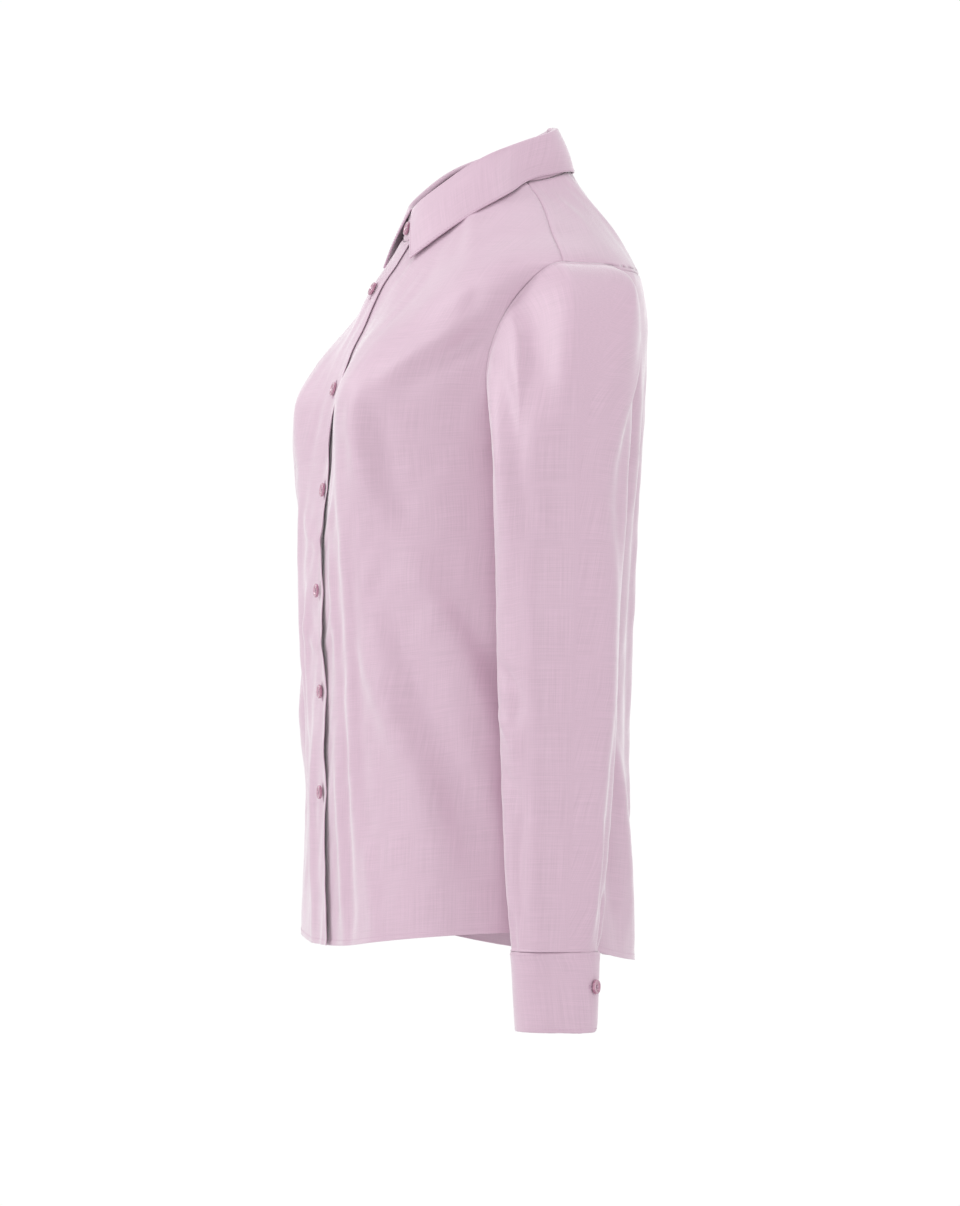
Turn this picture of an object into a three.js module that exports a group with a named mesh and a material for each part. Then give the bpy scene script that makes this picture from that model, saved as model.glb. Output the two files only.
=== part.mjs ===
// A long sleeve dress shirt with a pointed collar, buttoned up and filled out as if worn, with no wearer inside.
// Millimetres, +Z up. The front faces -Y and the wearer's left side is +X.
// The origin is in the middle of the neck opening, level with the high points of the shoulders.
// Each piece is a thin wall of cloth between an outer and an inner skin, worked out from rings round body, arms and neck.
import * as THREE from "three";

// Cloth and seams
const CLOTH = 1.2;
const STAND_CLOTH = 1.8;
const COLLAR_CLOTH = 1.7;
const CUFF_CLOTH = 2.2;
const SEAM = 0.3;
const RIGHT_ANGLE = Math.PI / 2;
const FULL_TURN = Math.PI * 2;

// Front closing: the wearer's right front laps over the left one
const LAP = 15; // from the centre front to the edge of either front
const LAP_LIFT = CLOTH + 0.7; // how far the upper front lies outside the lower one
const LAP_START = -58; // where the upper front begins to rise, in x
const GAPE = 2.4; // how far its edge stands off between two buttons
const BUTTON_PITCH = 83;
const FIRST_BUTTON_Z = -88;
const FRONT_BUTTONS = 6;

// Buttons
const BUTTON = { radius: 5.7, rim: 0.5, thick: 2.4, dish: 0.7, facets: 12, stand: 0.9, cuffStand: 0.45 };

// Colours
const LILAC = 0xd9bfd0;
const BUTTON_ROSE = 0xa9788c;

// Rings of the body from hem to neck, one row each, with heights at the side, the centre front and the centre back.
// halfWidth is the side's x and sideY its y. front and back are how far the ring reaches before and behind the origin.
// A squareness of 2 is an ellipse. frontDrop lowers the ring half way between the centre front and the side.
const BODY_RINGS = tableOf(
  ["sideZ", "frontZ", "backZ", "halfWidth", "front", "back", "sideY", "frontSquare", "backSquare", "frontDrop"],
  [
    [-614, -629, -640.5, 208, 118, 114.5, 0, 3.1, 2.5, 3], // hem
    [-503, -503, -508, 200, 120.5, 116, 0, 2.5, 2.5, 0],
    [-420, -420, -422, 194, 120, 119, 0, 2.4, 2.5, 0],
    [-337, -337, -337, 187, 121, 125.5, 3, 2.3, 2.5, 0], // waist
    [-282, -282, -282, 181, 116, 130, 7, 2.4, 2.5, 0],
    [-230, -232, -230, 177, 107.5, 134, 12, 2.7, 2.5, 0], // underarm
    [-156, -171, -158, 178, 99.5, 137, 19, 2.9, 2.6, 2],
    [-118, -132, -112, 186, 92, 136.5, 23, 2.5, 2.5, 5],
    [-82, -88, -72, 198, 76.5, 128, 27, 1.9, 2.4, 14], // shoulder point
    [-50, -68, -34, 143, 63.5, 115, 29, 1.9, 2.2, 12],
    [-20, -56, -4, 90, 55.5, 98, 26, 2.0, 2.1, 7],
    [-3, -47, 15, 63, 49.5, 86.5, 19, 2.1, 2.1, 0], // neck seam
  ],
);
const HEM = -614;
// The back hem drops quickly from the side seam and rises a touch at its middle: heights where that shape fades out
// upwards, and how far short of the full drop its middle stays
const TAIL = { fades: -440, full: -520, steep: 3, middle: 0.1 };
const LAST_BUTTON_LEVEL = -503;
const THIRD_BUTTON_LEVEL = -254;
const UNDERARM = -230;
const SHOULDER = -82;
const NECK = -3;
const NECK_SEAM_ANGLE = 1.82; // where the shoulder seam meets the neck, round from the centre front

// Armhole: half its width to the front and to the back, and how boxy its four quarters are
const ARMHOLE = { front: 45, back: 69, frontTop: 1.9, backTop: 6, bottom: 2.0, steps: 12 };

// Bust fullness: how far the cloth stands forward at each height, on a soft rise either side of the centre front
const BUST_X = 88;
const BUST_ACROSS = 46;
const BUST = tableOf(
  ["z", "rise"],
  [
    [-600, 0],
    [-503, 2],
    [-420, 3.5],
    [-337, 9],
    [-282, 17],
    [-240, 26],
    [-200, 32.5],
    [-172, 32],
    [-145, 20],
    [-118, 6],
    [-95, 1],
    [-80, 0],
  ],
);

// Soft folds of the body, each a ridge from one place to another, in degrees round from the centre front
const BODY_FOLDS = tableOf(
  ["fromAngle", "fromZ", "toAngle", "toZ", "width", "height"],
  [
    [38, -235, 66, -600, 15, 4.5], // from the left bust to the hem at the side
    [52, -270, 84, -560, 13, 3.5],
    [30, -330, 44, -625, 12, 2.5],
    [-36, -240, -60, -600, 15, 4.0], // the same on the right
    [-54, -290, -82, -590, 12, 3.0],
    [150, -200, 140, -640, 16, 4.5], // down the back from each shoulder blade
    [-150, -210, -142, -640, 16, 4.5],
    [118, -430, 132, -640, 14, 4.0],
    [-120, -400, -128, -640, 14, 3.5],
    [176, -300, 182, -640, 14, 2.5],
  ],
);

// Rings of a sleeve from below its cap, and the cuff below them
const SLEEVE_RINGS = tableOf(
  ["z", "x", "y", "halfX", "halfY"],
  [
    [-258, 231.5, 14, 49.5, 51.5],
    [-367, 239, 11.5, 46, 48],
    [-497, 246.5, 8.5, 42, 42.8],
    [-583, 250, 5.4, 38.5, 37.5],
    [-627.5, 251.5, 3.8, 35.5, 33.4],
  ],
);
const CUFF_RINGS = tableOf(
  ["z", "x", "y", "halfX", "halfY"],
  [
    [-628.1, 251.5, 3.8, 36.5, 34.2],
    [-690.5, 253, 4.5, 36, 30.8],
  ],
);
const CUFF_LAP = { from: 24, to: 64, button: 45 }; // degrees from +X towards the back
const CUFF_BUTTON_Z = -655;
const ARM_PIVOT = { y: 14, z: -150 };
const RIGHT_ARM_SWING = 16.3; // degrees that the wearer's right arm hangs further back than the left

// How far the sleeve turns from the body's wall round the armhole, from the shoulder point to the underarm, in degrees
const SLEEVE_FOLD = tableOf(
  ["share", "front", "back"],
  [
    [0, 38, 38],
    [0.1, 42, 52],
    [0.3, 62, 70],
    [0.6, 95, 92],
    [0.85, 130, 128],
    [1, 150, 150],
  ],
);
const CAP_ROWS = 7;
const CAP_FULLNESS = 0.95;

// Collar: the stand's upper ring, and the fall's lower edge from its tips round to the centre back
const COLLAR_CENTRE_Y = 28;
const STAND_TOP = tableOf(
  ["angle", "radius", "z"],
  [
    [0, 72, -27],
    [13, 71, -20],
    [26, 64, -9.5],
    [40, 57.3, 1.5],
    [62, 53.3, 14],
    [93, 50.8, 26],
    [120, 51.5, 34.5],
    [150, 47.5, 42],
    [180, 43.5, 45.5],
  ],
);
const STAND_END = LAP - 1;
const COLLAR_GAP = 9; // between the two ends of the fall at the fold
const FALL_EDGE = tableOf(
  ["angle", "z", "standOff"],
  [
    [27, -68, 5],
    [51, -44, 3.2],
    [70, -27, 3],
    [94, -9, 3],
    [129, 4, 3],
    [163, 10.5, 2.6],
    [180, 11, 2.4],
  ],
);
const FALL_BOW = 1.6; // how far the fall's middle stands out from a straight drop
// The roll of the fall over the stand's top: outward and upward from the stand's outer edge
const ROLL = tableOf(
  ["out", "up"],
  [
    [-1.7, 1.5],
    [-1.5, 3.7],
    [0.6, 5.2],
    [2.9, 4.7],
    [4.2, 2.6],
  ],
);

// Tables and curves
function tableOf(columns, rows) {
  return rows.map((row) => Object.fromEntries(columns.map((name, i) => [name, row[i]])));
}

// A smooth curve through (at, value) pairs, with the slope at each from its neighbours
function curveThrough(at, values) {
  const last = at.length - 1;
  const rise = (i) => (values[i + 1] - values[i]) / (at[i + 1] - at[i]);
  const slope = (i) => {
    if (i === 0) return rise(0);
    if (i === last) return rise(last - 1);
    const before = at[i] - at[i - 1];
    const after = at[i + 1] - at[i];
    return (rise(i - 1) * after + rise(i) * before) / (before + after);
  };
  return (x) => {
    let i = 0;
    while (i < last - 1 && x > at[i + 1]) i++;
    const span = at[i + 1] - at[i];
    const s = (x - at[i]) / span;
    const s2 = s * s;
    const s3 = s2 * s;
    return (
      (2 * s3 - 3 * s2 + 1) * values[i] +
      (s3 - 2 * s2 + s) * span * slope(i) +
      (3 * s2 - 2 * s3) * values[i + 1] +
      (s3 - s2) * span * slope(i + 1)
    );
  };
}

// Every other column of a table as a curve over one of its columns
function curvesOf(table, key) {
  const rows = [...table].sort((a, b) => a[key] - b[key]);
  const at = rows.map((row) => row[key]);
  const names = Object.keys(rows[0]).filter((name) => name !== key);
  return Object.fromEntries(names.map((name) => [name, curveThrough(at, rows.map((row) => row[name]))]));
}

const smooth = (low, high, x) => THREE.MathUtils.smoothstep(x, low, high);
const bell = (distance, width) => Math.exp(-((distance / width) ** 2) / 2);
const lerp = THREE.MathUtils.lerp;
const radians = THREE.MathUtils.degToRad;
const spaced = (from, to, steps) => Array.from({ length: steps + 1 }, (_, i) => lerp(from, to, i / steps));

// The level between hem and neck at which a rising height reaches z
function levelWhere(heightAt, z) {
  let low = HEM;
  let high = NECK;
  for (let i = 0; i < 40; i++) {
    const middle = (low + high) / 2;
    if (heightAt(middle) < z) low = middle;
    else high = middle;
  }
  return (low + high) / 2;
}

// A point of a ring at an angle round from the centre front towards the wearer's left
function ringPoint(ring, angle) {
  const ahead = Math.cos(angle);
  const aside = Math.sin(angle);
  const reach = ahead > 0 ? ring.front + ring.sideY : ring.back - ring.sideY;
  const square = lerp(ring.backSquare, ring.frontSquare, (ahead + 1) / 2);
  const sum = Math.abs(ahead / reach) ** square + Math.abs(aside / ring.halfWidth) ** square;
  const radius = sum ** (-1 / square);
  const endZ = ahead > 0 ? ring.frontZ : ring.backZ;
  const drop = ahead > 0 ? (ring.frontDrop ?? 0) * Math.sin(2 * angle) ** 2 : 0;
  const even = ahead * ahead;
  const tail = 1 - (1 - Math.abs(ahead)) ** TAIL.steep - TAIL.middle * even ** 3;
  const share = ahead > 0 ? even : lerp(tail, even, smooth(TAIL.full, TAIL.fades, ring.sideZ));
  const z = ring.sideZ + (endZ - ring.sideZ) * share - drop;
  return new THREE.Vector3(radius * aside, ring.sideY - radius * ahead, z);
}

const bodyCurves = curvesOf(BODY_RINGS, "sideZ");

// The ring at a level, which is the height of its side point
function ringAt(level) {
  const ring = { sideZ: level };
  for (const [name, curve] of Object.entries(bodyCurves)) ring[name] = curve(level);
  return ring;
}

const bustCurve = curvesOf(BUST, "z").rise;

// How far the bust lifts the cloth forward
function bustRise(x, z) {
  if (z < BUST[0].z || z > BUST[BUST.length - 1].z) return 0;
  return bustCurve(z) * (bell(x - BUST_X, BUST_ACROSS) + bell(x + BUST_X, BUST_ACROSS));
}

// How far the folds lift the cloth outward
function foldRise(angle, z) {
  const degrees = THREE.MathUtils.radToDeg(Math.atan2(Math.sin(angle), Math.cos(angle)));
  let rise = 0;
  for (const fold of BODY_FOLDS) {
    const along = (z - fold.fromZ) / (fold.toZ - fold.fromZ);
    const centre = lerp(fold.fromAngle, fold.toAngle, along);
    const apart = ((degrees - centre + 540) % 360) - 180;
    const spread = fold.width * (0.55 + 0.45 * along) * 0.5;
    rise += fold.height * smooth(-0.05, 0.45, along) * bell(apart, spread);
  }
  return rise;
}

function bodyPoint(angle, level, lift = 0) {
  const point = ringPoint(ringAt(level), angle);
  if (Math.cos(angle) > 0) point.y -= bustRise(point.x, point.z) * Math.cos(angle) ** 0.5;
  const out = foldRise(angle, point.z) * (1 - smooth(UNDERARM - 60, UNDERARM + 60, level)) + lift;
  point.x += out * Math.sin(angle);
  point.y -= out * Math.cos(angle);
  return point;
}

// The unit normal of a surface given as a function of two numbers
function normalOf(surface, a, b, stepA = 0.01, stepB = 1) {
  const alongA = surface(a + stepA, b).sub(surface(a - stepA, b));
  const alongB = surface(a, b + stepB).sub(surface(a, b - stepB));
  return alongA.cross(alongB).normalize();
}

// A closed wall from an outer and an inner grid of points. Seen from outside, rows go up and columns to the right.
function wallFrom(outer, inner, wrap = false) {
  const rows = outer.length;
  const columns = outer[0].length;
  const skin = outer.flat();
  const indices = [];
  const outside = (r, c) => r * columns + (c % columns);
  const inside = (r, c) => skin.length + outside(r, c);
  // Each quad is cut along its shorter diagonal, as measured on the outer grid
  const long = (a, b) => skin[a % skin.length].distanceTo(skin[b % skin.length]);
  const quad = (a, b, c, d) => {
    if (long(a, c) <= long(b, d)) indices.push(a, b, c, a, c, d);
    else indices.push(a, b, d, b, c, d);
  };
  const across = wrap ? columns : columns - 1;
  for (let r = 0; r < rows - 1; r++) {
    for (let c = 0; c < across; c++) {
      quad(outside(r, c), outside(r, c + 1), outside(r + 1, c + 1), outside(r + 1, c));
      quad(inside(r, c), inside(r + 1, c), inside(r + 1, c + 1), inside(r, c + 1));
    }
    if (!wrap) {
      quad(outside(r, 0), outside(r + 1, 0), inside(r + 1, 0), inside(r, 0));
      const end = columns - 1;
      quad(outside(r, end), inside(r, end), inside(r + 1, end), outside(r + 1, end));
    }
  }
  for (let c = 0; c < across; c++) {
    quad(outside(0, c), inside(0, c), inside(0, c + 1), outside(0, c + 1));
    const top = rows - 1;
    quad(outside(top, c), outside(top, c + 1), inside(top, c + 1), inside(top, c));
  }
  const geometry = new THREE.BufferGeometry().setFromPoints([...skin, ...inner.flat()]);
  geometry.setIndex(indices);
  geometry.computeVertexNormals();
  return geometry;
}

// The same wall on the other side of the body
function mirrored(geometry) {
  const copy = geometry.clone().scale(-1, 1, 1);
  const index = copy.index.array;
  for (let i = 0; i < index.length; i += 3) [index[i + 1], index[i + 2]] = [index[i + 2], index[i + 1]];
  copy.computeVertexNormals();
  return copy;
}

// The inner grid of a wall, set in from its outer grid along the normals found from each point's neighbours
function insetByNeighbours(outer, thickness) {
  const lastRow = outer.length - 1;
  const lastColumn = outer[0].length - 1;
  return outer.map((row, r) =>
    row.map((point, c) => {
      const right = outer[r][Math.min(c + 1, lastColumn)].clone().sub(outer[r][Math.max(c - 1, 0)]);
      const up = outer[Math.min(r + 1, lastRow)][c].clone().sub(outer[Math.max(r - 1, 0)][c]);
      return point.clone().addScaledVector(right.cross(up).normalize(), -thickness);
    }),
  );
}

// Body panels
// Levels of the armhole from its top down, closer together at its ends
const armholeLevels = spaced(0, Math.PI, ARMHOLE.steps).map((turn) =>
  lerp(UNDERARM, SHOULDER, (Math.cos(turn) + 1) / 2),
);
const YOKE_SEAM = armholeLevels[1];

// The angle at which the armhole's front or back edge lies at a level
function armholeAngle(level, side) {
  const height = THREE.MathUtils.clamp((level - (UNDERARM + SHOULDER) / 2) / ((SHOULDER - UNDERARM) / 2), -1, 1);
  const square = height < 0 ? ARMHOLE.bottom : ARMHOLE[side + "Top"];
  const width = ARMHOLE[side] * (1 - Math.abs(height) ** square) ** (1 / square);
  const turn = Math.atan(width / ringAt(level).halfWidth);
  return side === "front" ? RIGHT_ANGLE - turn : RIGHT_ANGLE + turn;
}

// The shoulder seam's angle at a level above the shoulder point
const shoulderSeamAngle = (level) =>
  lerp(RIGHT_ANGLE, NECK_SEAM_ANGLE, ((level - SHOULDER) / (NECK - SHOULDER)) ** 2.6);

const seamTurn = (level) => SEAM / 2 / ringAt(level).halfWidth;

// Where a front ends at its side: side seam, armhole, then shoulder seam
function frontSideAngle(level) {
  if (level > SHOULDER) return shoulderSeamAngle(level) - seamTurn(level);
  return Math.min(armholeAngle(level, "front"), RIGHT_ANGLE - seamTurn(level));
}

function backSideAngle(level) {
  if (level > SHOULDER) return shoulderSeamAngle(level) + seamTurn(level);
  return Math.max(armholeAngle(level, "back"), RIGHT_ANGLE + seamTurn(level));
}

const bodyLevels = [
  ...spaced(HEM, LAST_BUTTON_LEVEL, 4),
  ...spaced(LAST_BUTTON_LEVEL, THIRD_BUTTON_LEVEL, 9).slice(1),
];
const armholeUp = [...armholeLevels].reverse();
const shoulderLevels = spaced(SHOULDER, NECK, 6);

// A body wall from rows of levels, each with its columns' angles, and how far it is lifted off the body's own surface
function bodyPanel(levels, anglesAt, liftOf = () => 0) {
  const surface = (angle, level) => bodyPoint(angle, level, liftOf(angle, level));
  const angles = levels.map(anglesAt);
  const outer = levels.map((level, r) => angles[r].map((angle) => surface(angle, level)));
  const inner = levels.map((level, r) =>
    angles[r].map((angle, c) => outer[r][c].clone().addScaledVector(normalOf(surface, angle, level), -CLOTH)),
  );
  return wallFrom(outer, inner);
}

// The upper front's edge stands off between its buttons and is held close at each of them
function lapLift(angle, level) {
  const point = ringPoint(ringAt(level), angle);
  const span = (FIRST_BUTTON_Z - point.z) / BUTTON_PITCH;
  const between = Math.abs(Math.sin(Math.PI * Math.min(span, FRONT_BUTTONS - 0.5)));
  const opening = smooth(0.6, 1.4, span) * GAPE * between * smooth(0, LAP, point.x);
  return LAP_LIFT * smooth(LAP_START, -LAP, point.x) + opening;
}

const lapAngle = (level) => Math.atan(LAP / (ringAt(level).front + ringAt(level).sideY));
const FRONT_COLUMNS = 11;
const BACK_COLUMNS = 24;
const frontLevels = [...bodyLevels, ...armholeUp.slice(0, -1), ...shoulderLevels];
const backLevels = [...bodyLevels, ...armholeUp.slice(0, -2), YOKE_SEAM - SEAM / 2];

// A front's columns: both edges of the lap and its middle, then on to the side. An armhole moves the outer ones the most.
function frontAngles(level) {
  const lap = lapAngle(level);
  const side = frontSideAngle(level);
  const wide = RIGHT_ANGLE - seamTurn(level);
  const rest = spaced(0, 1, FRONT_COLUMNS).map((share) => lerp(lap, wide, share) - (wide - side) * share ** 4);
  return [-lap, 0, ...rest];
}

function backAngles(level) {
  const side = backSideAngle(level);
  const wide = RIGHT_ANGLE + seamTurn(level);
  return spaced(-1, 1, BACK_COLUMNS).map(
    (share) => Math.PI + (Math.PI - wide) * share - (side - wide) * Math.sign(share) * share ** 4,
  );
}

function leftFront() {
  return bodyPanel(frontLevels, frontAngles);
}

function rightFront() {
  const anglesAt = (level) => frontAngles(level).map((angle) => -angle).reverse();
  return bodyPanel(frontLevels, anglesAt, lapLift);
}

function back() {
  return bodyPanel(backLevels, backAngles);
}

function yoke() {
  return bodyPanel([YOKE_SEAM + SEAM / 2, ...shoulderLevels], backAngles);
}

// Sleeves
// The armhole's edge as a loop from the shoulder point down the front and up the back
function armholeLoop() {
  const steps = ARMHOLE.steps;
  return Array.from({ length: 2 * steps }, (_, i) => {
    const onFront = i <= steps;
    const k = onFront ? i : 2 * steps - i;
    const level = armholeLevels[k];
    const angle = k === 0 || k === steps ? RIGHT_ANGLE : armholeAngle(level, onFront ? "front" : "back");
    return {
      point: bodyPoint(angle, level),
      normal: normalOf(bodyPoint, angle, level),
      share: k / steps,
      turn: (onFront ? -1 : 1) * Math.PI * (k / steps),
    };
  });
}

const foldCurves = curvesOf(SLEEVE_FOLD, "share");

// At each point of the armhole: where the sleeve starts, the way its wall sets off, and the way its outside faces
function sleeveStart() {
  const loop = armholeLoop();
  const centre = new THREE.Vector3();
  loop.forEach((place) => centre.addScaledVector(place.point, 1 / loop.length));
  const mix = (a, b, angle) => a.clone().multiplyScalar(Math.cos(angle)).addScaledVector(b, Math.sin(angle));
  return loop.map((place, i) => {
    const before = loop[(i + loop.length - 1) % loop.length].point;
    const after = loop[(i + 1) % loop.length].point;
    const along = after.clone().sub(before).normalize();
    const away = along.cross(place.normal).normalize(); // out of the body's wall, across the armhole
    if (away.dot(centre.clone().sub(place.point)) < 0) away.negate();
    const fold = radians(place.turn <= 0 ? foldCurves.front(place.share) : foldCurves.back(place.share));
    return {
      point: place.point.clone().addScaledVector(mix(away, place.normal, fold / 2), SEAM + 0.6),
      way: mix(away, place.normal, fold),
      normal: mix(place.normal, away.clone().negate(), fold),
      turn: place.turn,
    };
  });
}

// A place on the arm when it is swung back from the shoulder by some degrees
function swung(point, degrees) {
  const turn = radians(degrees);
  const y = point.y - ARM_PIVOT.y;
  const z = point.z - ARM_PIVOT.z;
  point.y = ARM_PIVOT.y + y * Math.cos(turn) - z * Math.sin(turn);
  point.z = ARM_PIVOT.z + y * Math.sin(turn) + z * Math.cos(turn);
  return point;
}

function armPoint(curves, turn, z, grow = 0) {
  const x = curves.x(z) + (curves.halfX(z) + grow) * Math.cos(turn);
  const y = curves.y(z) + (curves.halfY(z) + grow) * Math.sin(turn);
  return new THREE.Vector3(x, y, z);
}

const sleeveCurves = curvesOf(SLEEVE_RINGS, "z");
const CAP_END = SLEEVE_RINGS[0].z;
const SLEEVE_END = SLEEVE_RINGS[SLEEVE_RINGS.length - 1].z;

// A point of the cap: a curve from the armhole that leaves along the wall's way and ends running down the arm
function capPoint(start, share, swing) {
  const end = swung(armPoint(sleeveCurves, start.turn, CAP_END), swing);
  const pull = (start.point.distanceTo(end) * CAP_FULLNESS) / 3;
  const leaving = start.point.clone().addScaledVector(start.way, pull);
  const up = new THREE.Vector3(0, 0, pull).applyAxisAngle(new THREE.Vector3(1, 0, 0), radians(swing));
  return new THREE.CubicBezierCurve3(start.point, leaving, end.clone().add(up), end).getPoint(share);
}

function sleeve(swing) {
  const starts = sleeveStart();
  const below = spaced(CAP_END, SLEEVE_END, 9).slice(1);
  const rings = [
    ...spaced(0, 1, CAP_ROWS).map((share) => starts.map((start) => capPoint(start, share, swing))),
    ...below.map((z) => starts.map((start) => swung(armPoint(sleeveCurves, start.turn, z), swing))),
  ];
  const count = starts.length;
  const inner = rings.map((ring, r) =>
    ring.map((point, c) => {
      if (r === 0) return point.clone().addScaledVector(starts[c].normal, -CLOTH);
      const side = ring[(c + 1) % count].clone().sub(ring[(c + count - 1) % count]);
      const down = rings[Math.min(r + 1, rings.length - 1)][c].clone().sub(rings[r - 1][c]);
      return point.clone().addScaledVector(side.cross(down).normalize(), CLOTH);
    }),
  );
  return wallFrom(rings.reverse(), inner.reverse(), true);
}

const cuffCurves = curvesOf(CUFF_RINGS, "z");

// How far the cuff's outer end is led outward to pass over the inner end
function cuffLap(turn) {
  const innerEnd = radians(CUFF_LAP.from) + FULL_TURN;
  return (CUFF_CLOTH + SEAM + 0.1) * smooth(innerEnd - 0.7, innerEnd - 0.05, turn);
}

// A band once round the wrist, whose outer end laps over its inner one
function cuff(swing) {
  const turns = spaced(radians(CUFF_LAP.from), radians(CUFF_LAP.to) + FULL_TURN, 34);
  const outer = spaced(CUFF_RINGS[1].z, CUFF_RINGS[0].z, 3).map((z) =>
    turns.map((turn) => swung(armPoint(cuffCurves, turn, z, cuffLap(turn)), swing)),
  );
  return wallFrom(outer, insetByNeighbours(outer, CUFF_CLOTH));
}

// Collar
// Degrees from the centre front to an angle on either side
function foldedDegrees(angle) {
  const degrees = Math.abs(THREE.MathUtils.radToDeg(angle));
  return degrees <= 180 ? degrees : Math.abs(360 - degrees);
}

const standTopCurves = curvesOf(STAND_TOP, "angle");

function standTopPoint(angle) {
  const radius = standTopCurves.radius(foldedDegrees(angle));
  const z = standTopCurves.z(foldedDegrees(angle));
  return new THREE.Vector3(radius * Math.sin(angle), COLLAR_CENTRE_Y - radius * Math.cos(angle), z);
}

const neckPoint = (angle) => bodyPoint(angle, NECK);

// The right end of the stand laps over the left one at the centre front
const standLap = (angle) => (STAND_CLOTH + SEAM) * smooth(FULL_TURN - 0.75, FULL_TURN - 0.3, angle);

function collarStand() {
  const outer = spaced(0, 1, 2).map((share) => {
    const endTurn = (STAND_END / STAND_TOP[0].radius) * (1 - 0.45 * share ** 3);
    return spaced(-endTurn, FULL_TURN + endTurn, 40).map((angle) => {
      const low = neckPoint(angle);
      low.z += SEAM + 0.5;
      const point = low.lerp(standTopPoint(angle), share);
      const lap = standLap(angle);
      point.x += lap * Math.sin(angle);
      point.y -= lap * Math.cos(angle);
      return point;
    });
  });
  return wallFrom(outer, insetByNeighbours(outer, STAND_CLOTH));
}

const fallCurves = curvesOf(FALL_EDGE, "angle");

// The fall's lower edge at an angle round from the centre front, the same on both sides
function fallEdgePoint(angle) {
  const folded = foldedDegrees(angle);
  const level = levelWhere((at) => bodyPoint(angle, at).z, fallCurves.z(folded));
  const point = bodyPoint(angle, level);
  return point.addScaledVector(normalOf(bodyPoint, angle, level), fallCurves.standOff(folded));
}

function collarFall() {
  const topStart = COLLAR_GAP / 2 / STAND_TOP[0].radius;
  const edgeStart = radians(FALL_EDGE[0].angle);
  const columns = 40;
  const topAngles = spaced(topStart, FULL_TURN - topStart, columns);
  const edge = spaced(edgeStart, FULL_TURN - edgeStart, columns).map((angle) => ({
    low: fallEdgePoint(angle),
    out: new THREE.Vector3(Math.sin(angle), -Math.cos(angle), 0),
  }));
  const rollRows = ROLL.map((step) =>
    topAngles.map((angle) => {
      const point = standTopPoint(angle);
      return point.add(new THREE.Vector3(step.out * Math.sin(angle), -step.out * Math.cos(angle), step.up));
    }),
  );
  const rolled = rollRows[rollRows.length - 1];
  const dropRows = spaced(0, 1, 5)
    .slice(1)
    .map((share) =>
      rolled.map((point, c) =>
        point
          .clone()
          .lerp(edge[c].low, share)
          .addScaledVector(edge[c].out, FALL_BOW * Math.sin(Math.PI * share)),
      ),
    );
  const outer = [...rollRows, ...dropRows].reverse();
  return wallFrom(outer, insetByNeighbours(outer, COLLAR_CLOTH));
}

// Buttons
// A round button with a raised rim, its back at the origin and its face towards +Z
function buttonShape() {
  const { radius, rim, thick, dish, facets } = BUTTON;
  const profile = [
    [0, 0],
    [radius - rim, 0],
    [radius, rim],
    [radius, thick - rim],
    [radius - rim, thick],
    [radius - 3 * rim, thick - dish],
    [0, thick - dish],
  ].map(([x, y]) => new THREE.Vector2(x, y));
  return new THREE.LatheGeometry(profile, facets).rotateX(RIGHT_ANGLE);
}

const clothMaterial = () => new THREE.MeshStandardMaterial({ color: LILAC, roughness: 0.85, metalness: 0 });
const buttonMaterial = () => new THREE.MeshStandardMaterial({ color: BUTTON_ROSE, roughness: 0.35, metalness: 0 });

const shirt = new THREE.Group();

function addMesh(name, geometry, material) {
  const mesh = new THREE.Mesh(geometry, material);
  mesh.name = name;
  shirt.add(mesh);
  return mesh;
}

// A button with its back just off a place on the cloth, facing away from it
function addButton(name, place, facing, stand = BUTTON.stand) {
  const mesh = addMesh(name, buttonShape(), buttonMaterial());
  mesh.quaternion.setFromUnitVectors(new THREE.Vector3(0, 0, 1), facing);
  mesh.position.copy(place).addScaledVector(facing, stand);
}

addMesh("left_front", leftFront(), clothMaterial());
addMesh("right_front", rightFront(), clothMaterial());
addMesh("back", back(), clothMaterial());
addMesh("yoke", yoke(), clothMaterial());
addMesh("left_sleeve", sleeve(0), clothMaterial());
addMesh("right_sleeve", mirrored(sleeve(RIGHT_ARM_SWING)), clothMaterial());
addMesh("left_cuff", cuff(0), clothMaterial());
addMesh("right_cuff", mirrored(cuff(RIGHT_ARM_SWING)), clothMaterial());
addMesh("collar_stand", collarStand(), clothMaterial());
addMesh("collar_fall", collarFall(), clothMaterial());

const upperFront = (angle, level) => bodyPoint(angle, level, lapLift(angle, level));
for (let i = 0; i < FRONT_BUTTONS; i++) {
  const level = levelWhere((at) => ringAt(at).frontZ, FIRST_BUTTON_Z - i * BUTTON_PITCH);
  addButton("front_button_" + (i + 1), upperFront(0, level), normalOf(upperFront, 0, level));
}

// The collar button, on the stand's outer end
const standFront = (angle, share) => {
  const point = neckPoint(angle).lerp(standTopPoint(angle), share);
  point.y -= STAND_CLOTH + SEAM;
  return point;
};
addButton("collar_button", standFront(0, 0.5), normalOf(standFront, 0, 0.5, 0.01, 0.1));

// A button on each cuff's outer end
const cuffFace = (turn, z) => armPoint(cuffCurves, turn, z, CUFF_CLOTH + SEAM + 0.1);
for (const side of ["left", "right"]) {
  const swing = side === "left" ? 0 : RIGHT_ARM_SWING;
  const mirror = side === "left" ? 1 : -1;
  const turn = radians(CUFF_LAP.button);
  const place = swung(cuffFace(turn, CUFF_BUTTON_Z), swing);
  const ahead = cuffFace(turn, CUFF_BUTTON_Z).add(normalOf(cuffFace, turn, CUFF_BUTTON_Z));
  const facing = swung(ahead, swing).sub(place);
  facing.setX(mirror * facing.x);
  addButton(side + "_cuff_button", place.setX(mirror * place.x), facing, BUTTON.cuffStand);
}

export default shirt;
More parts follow.
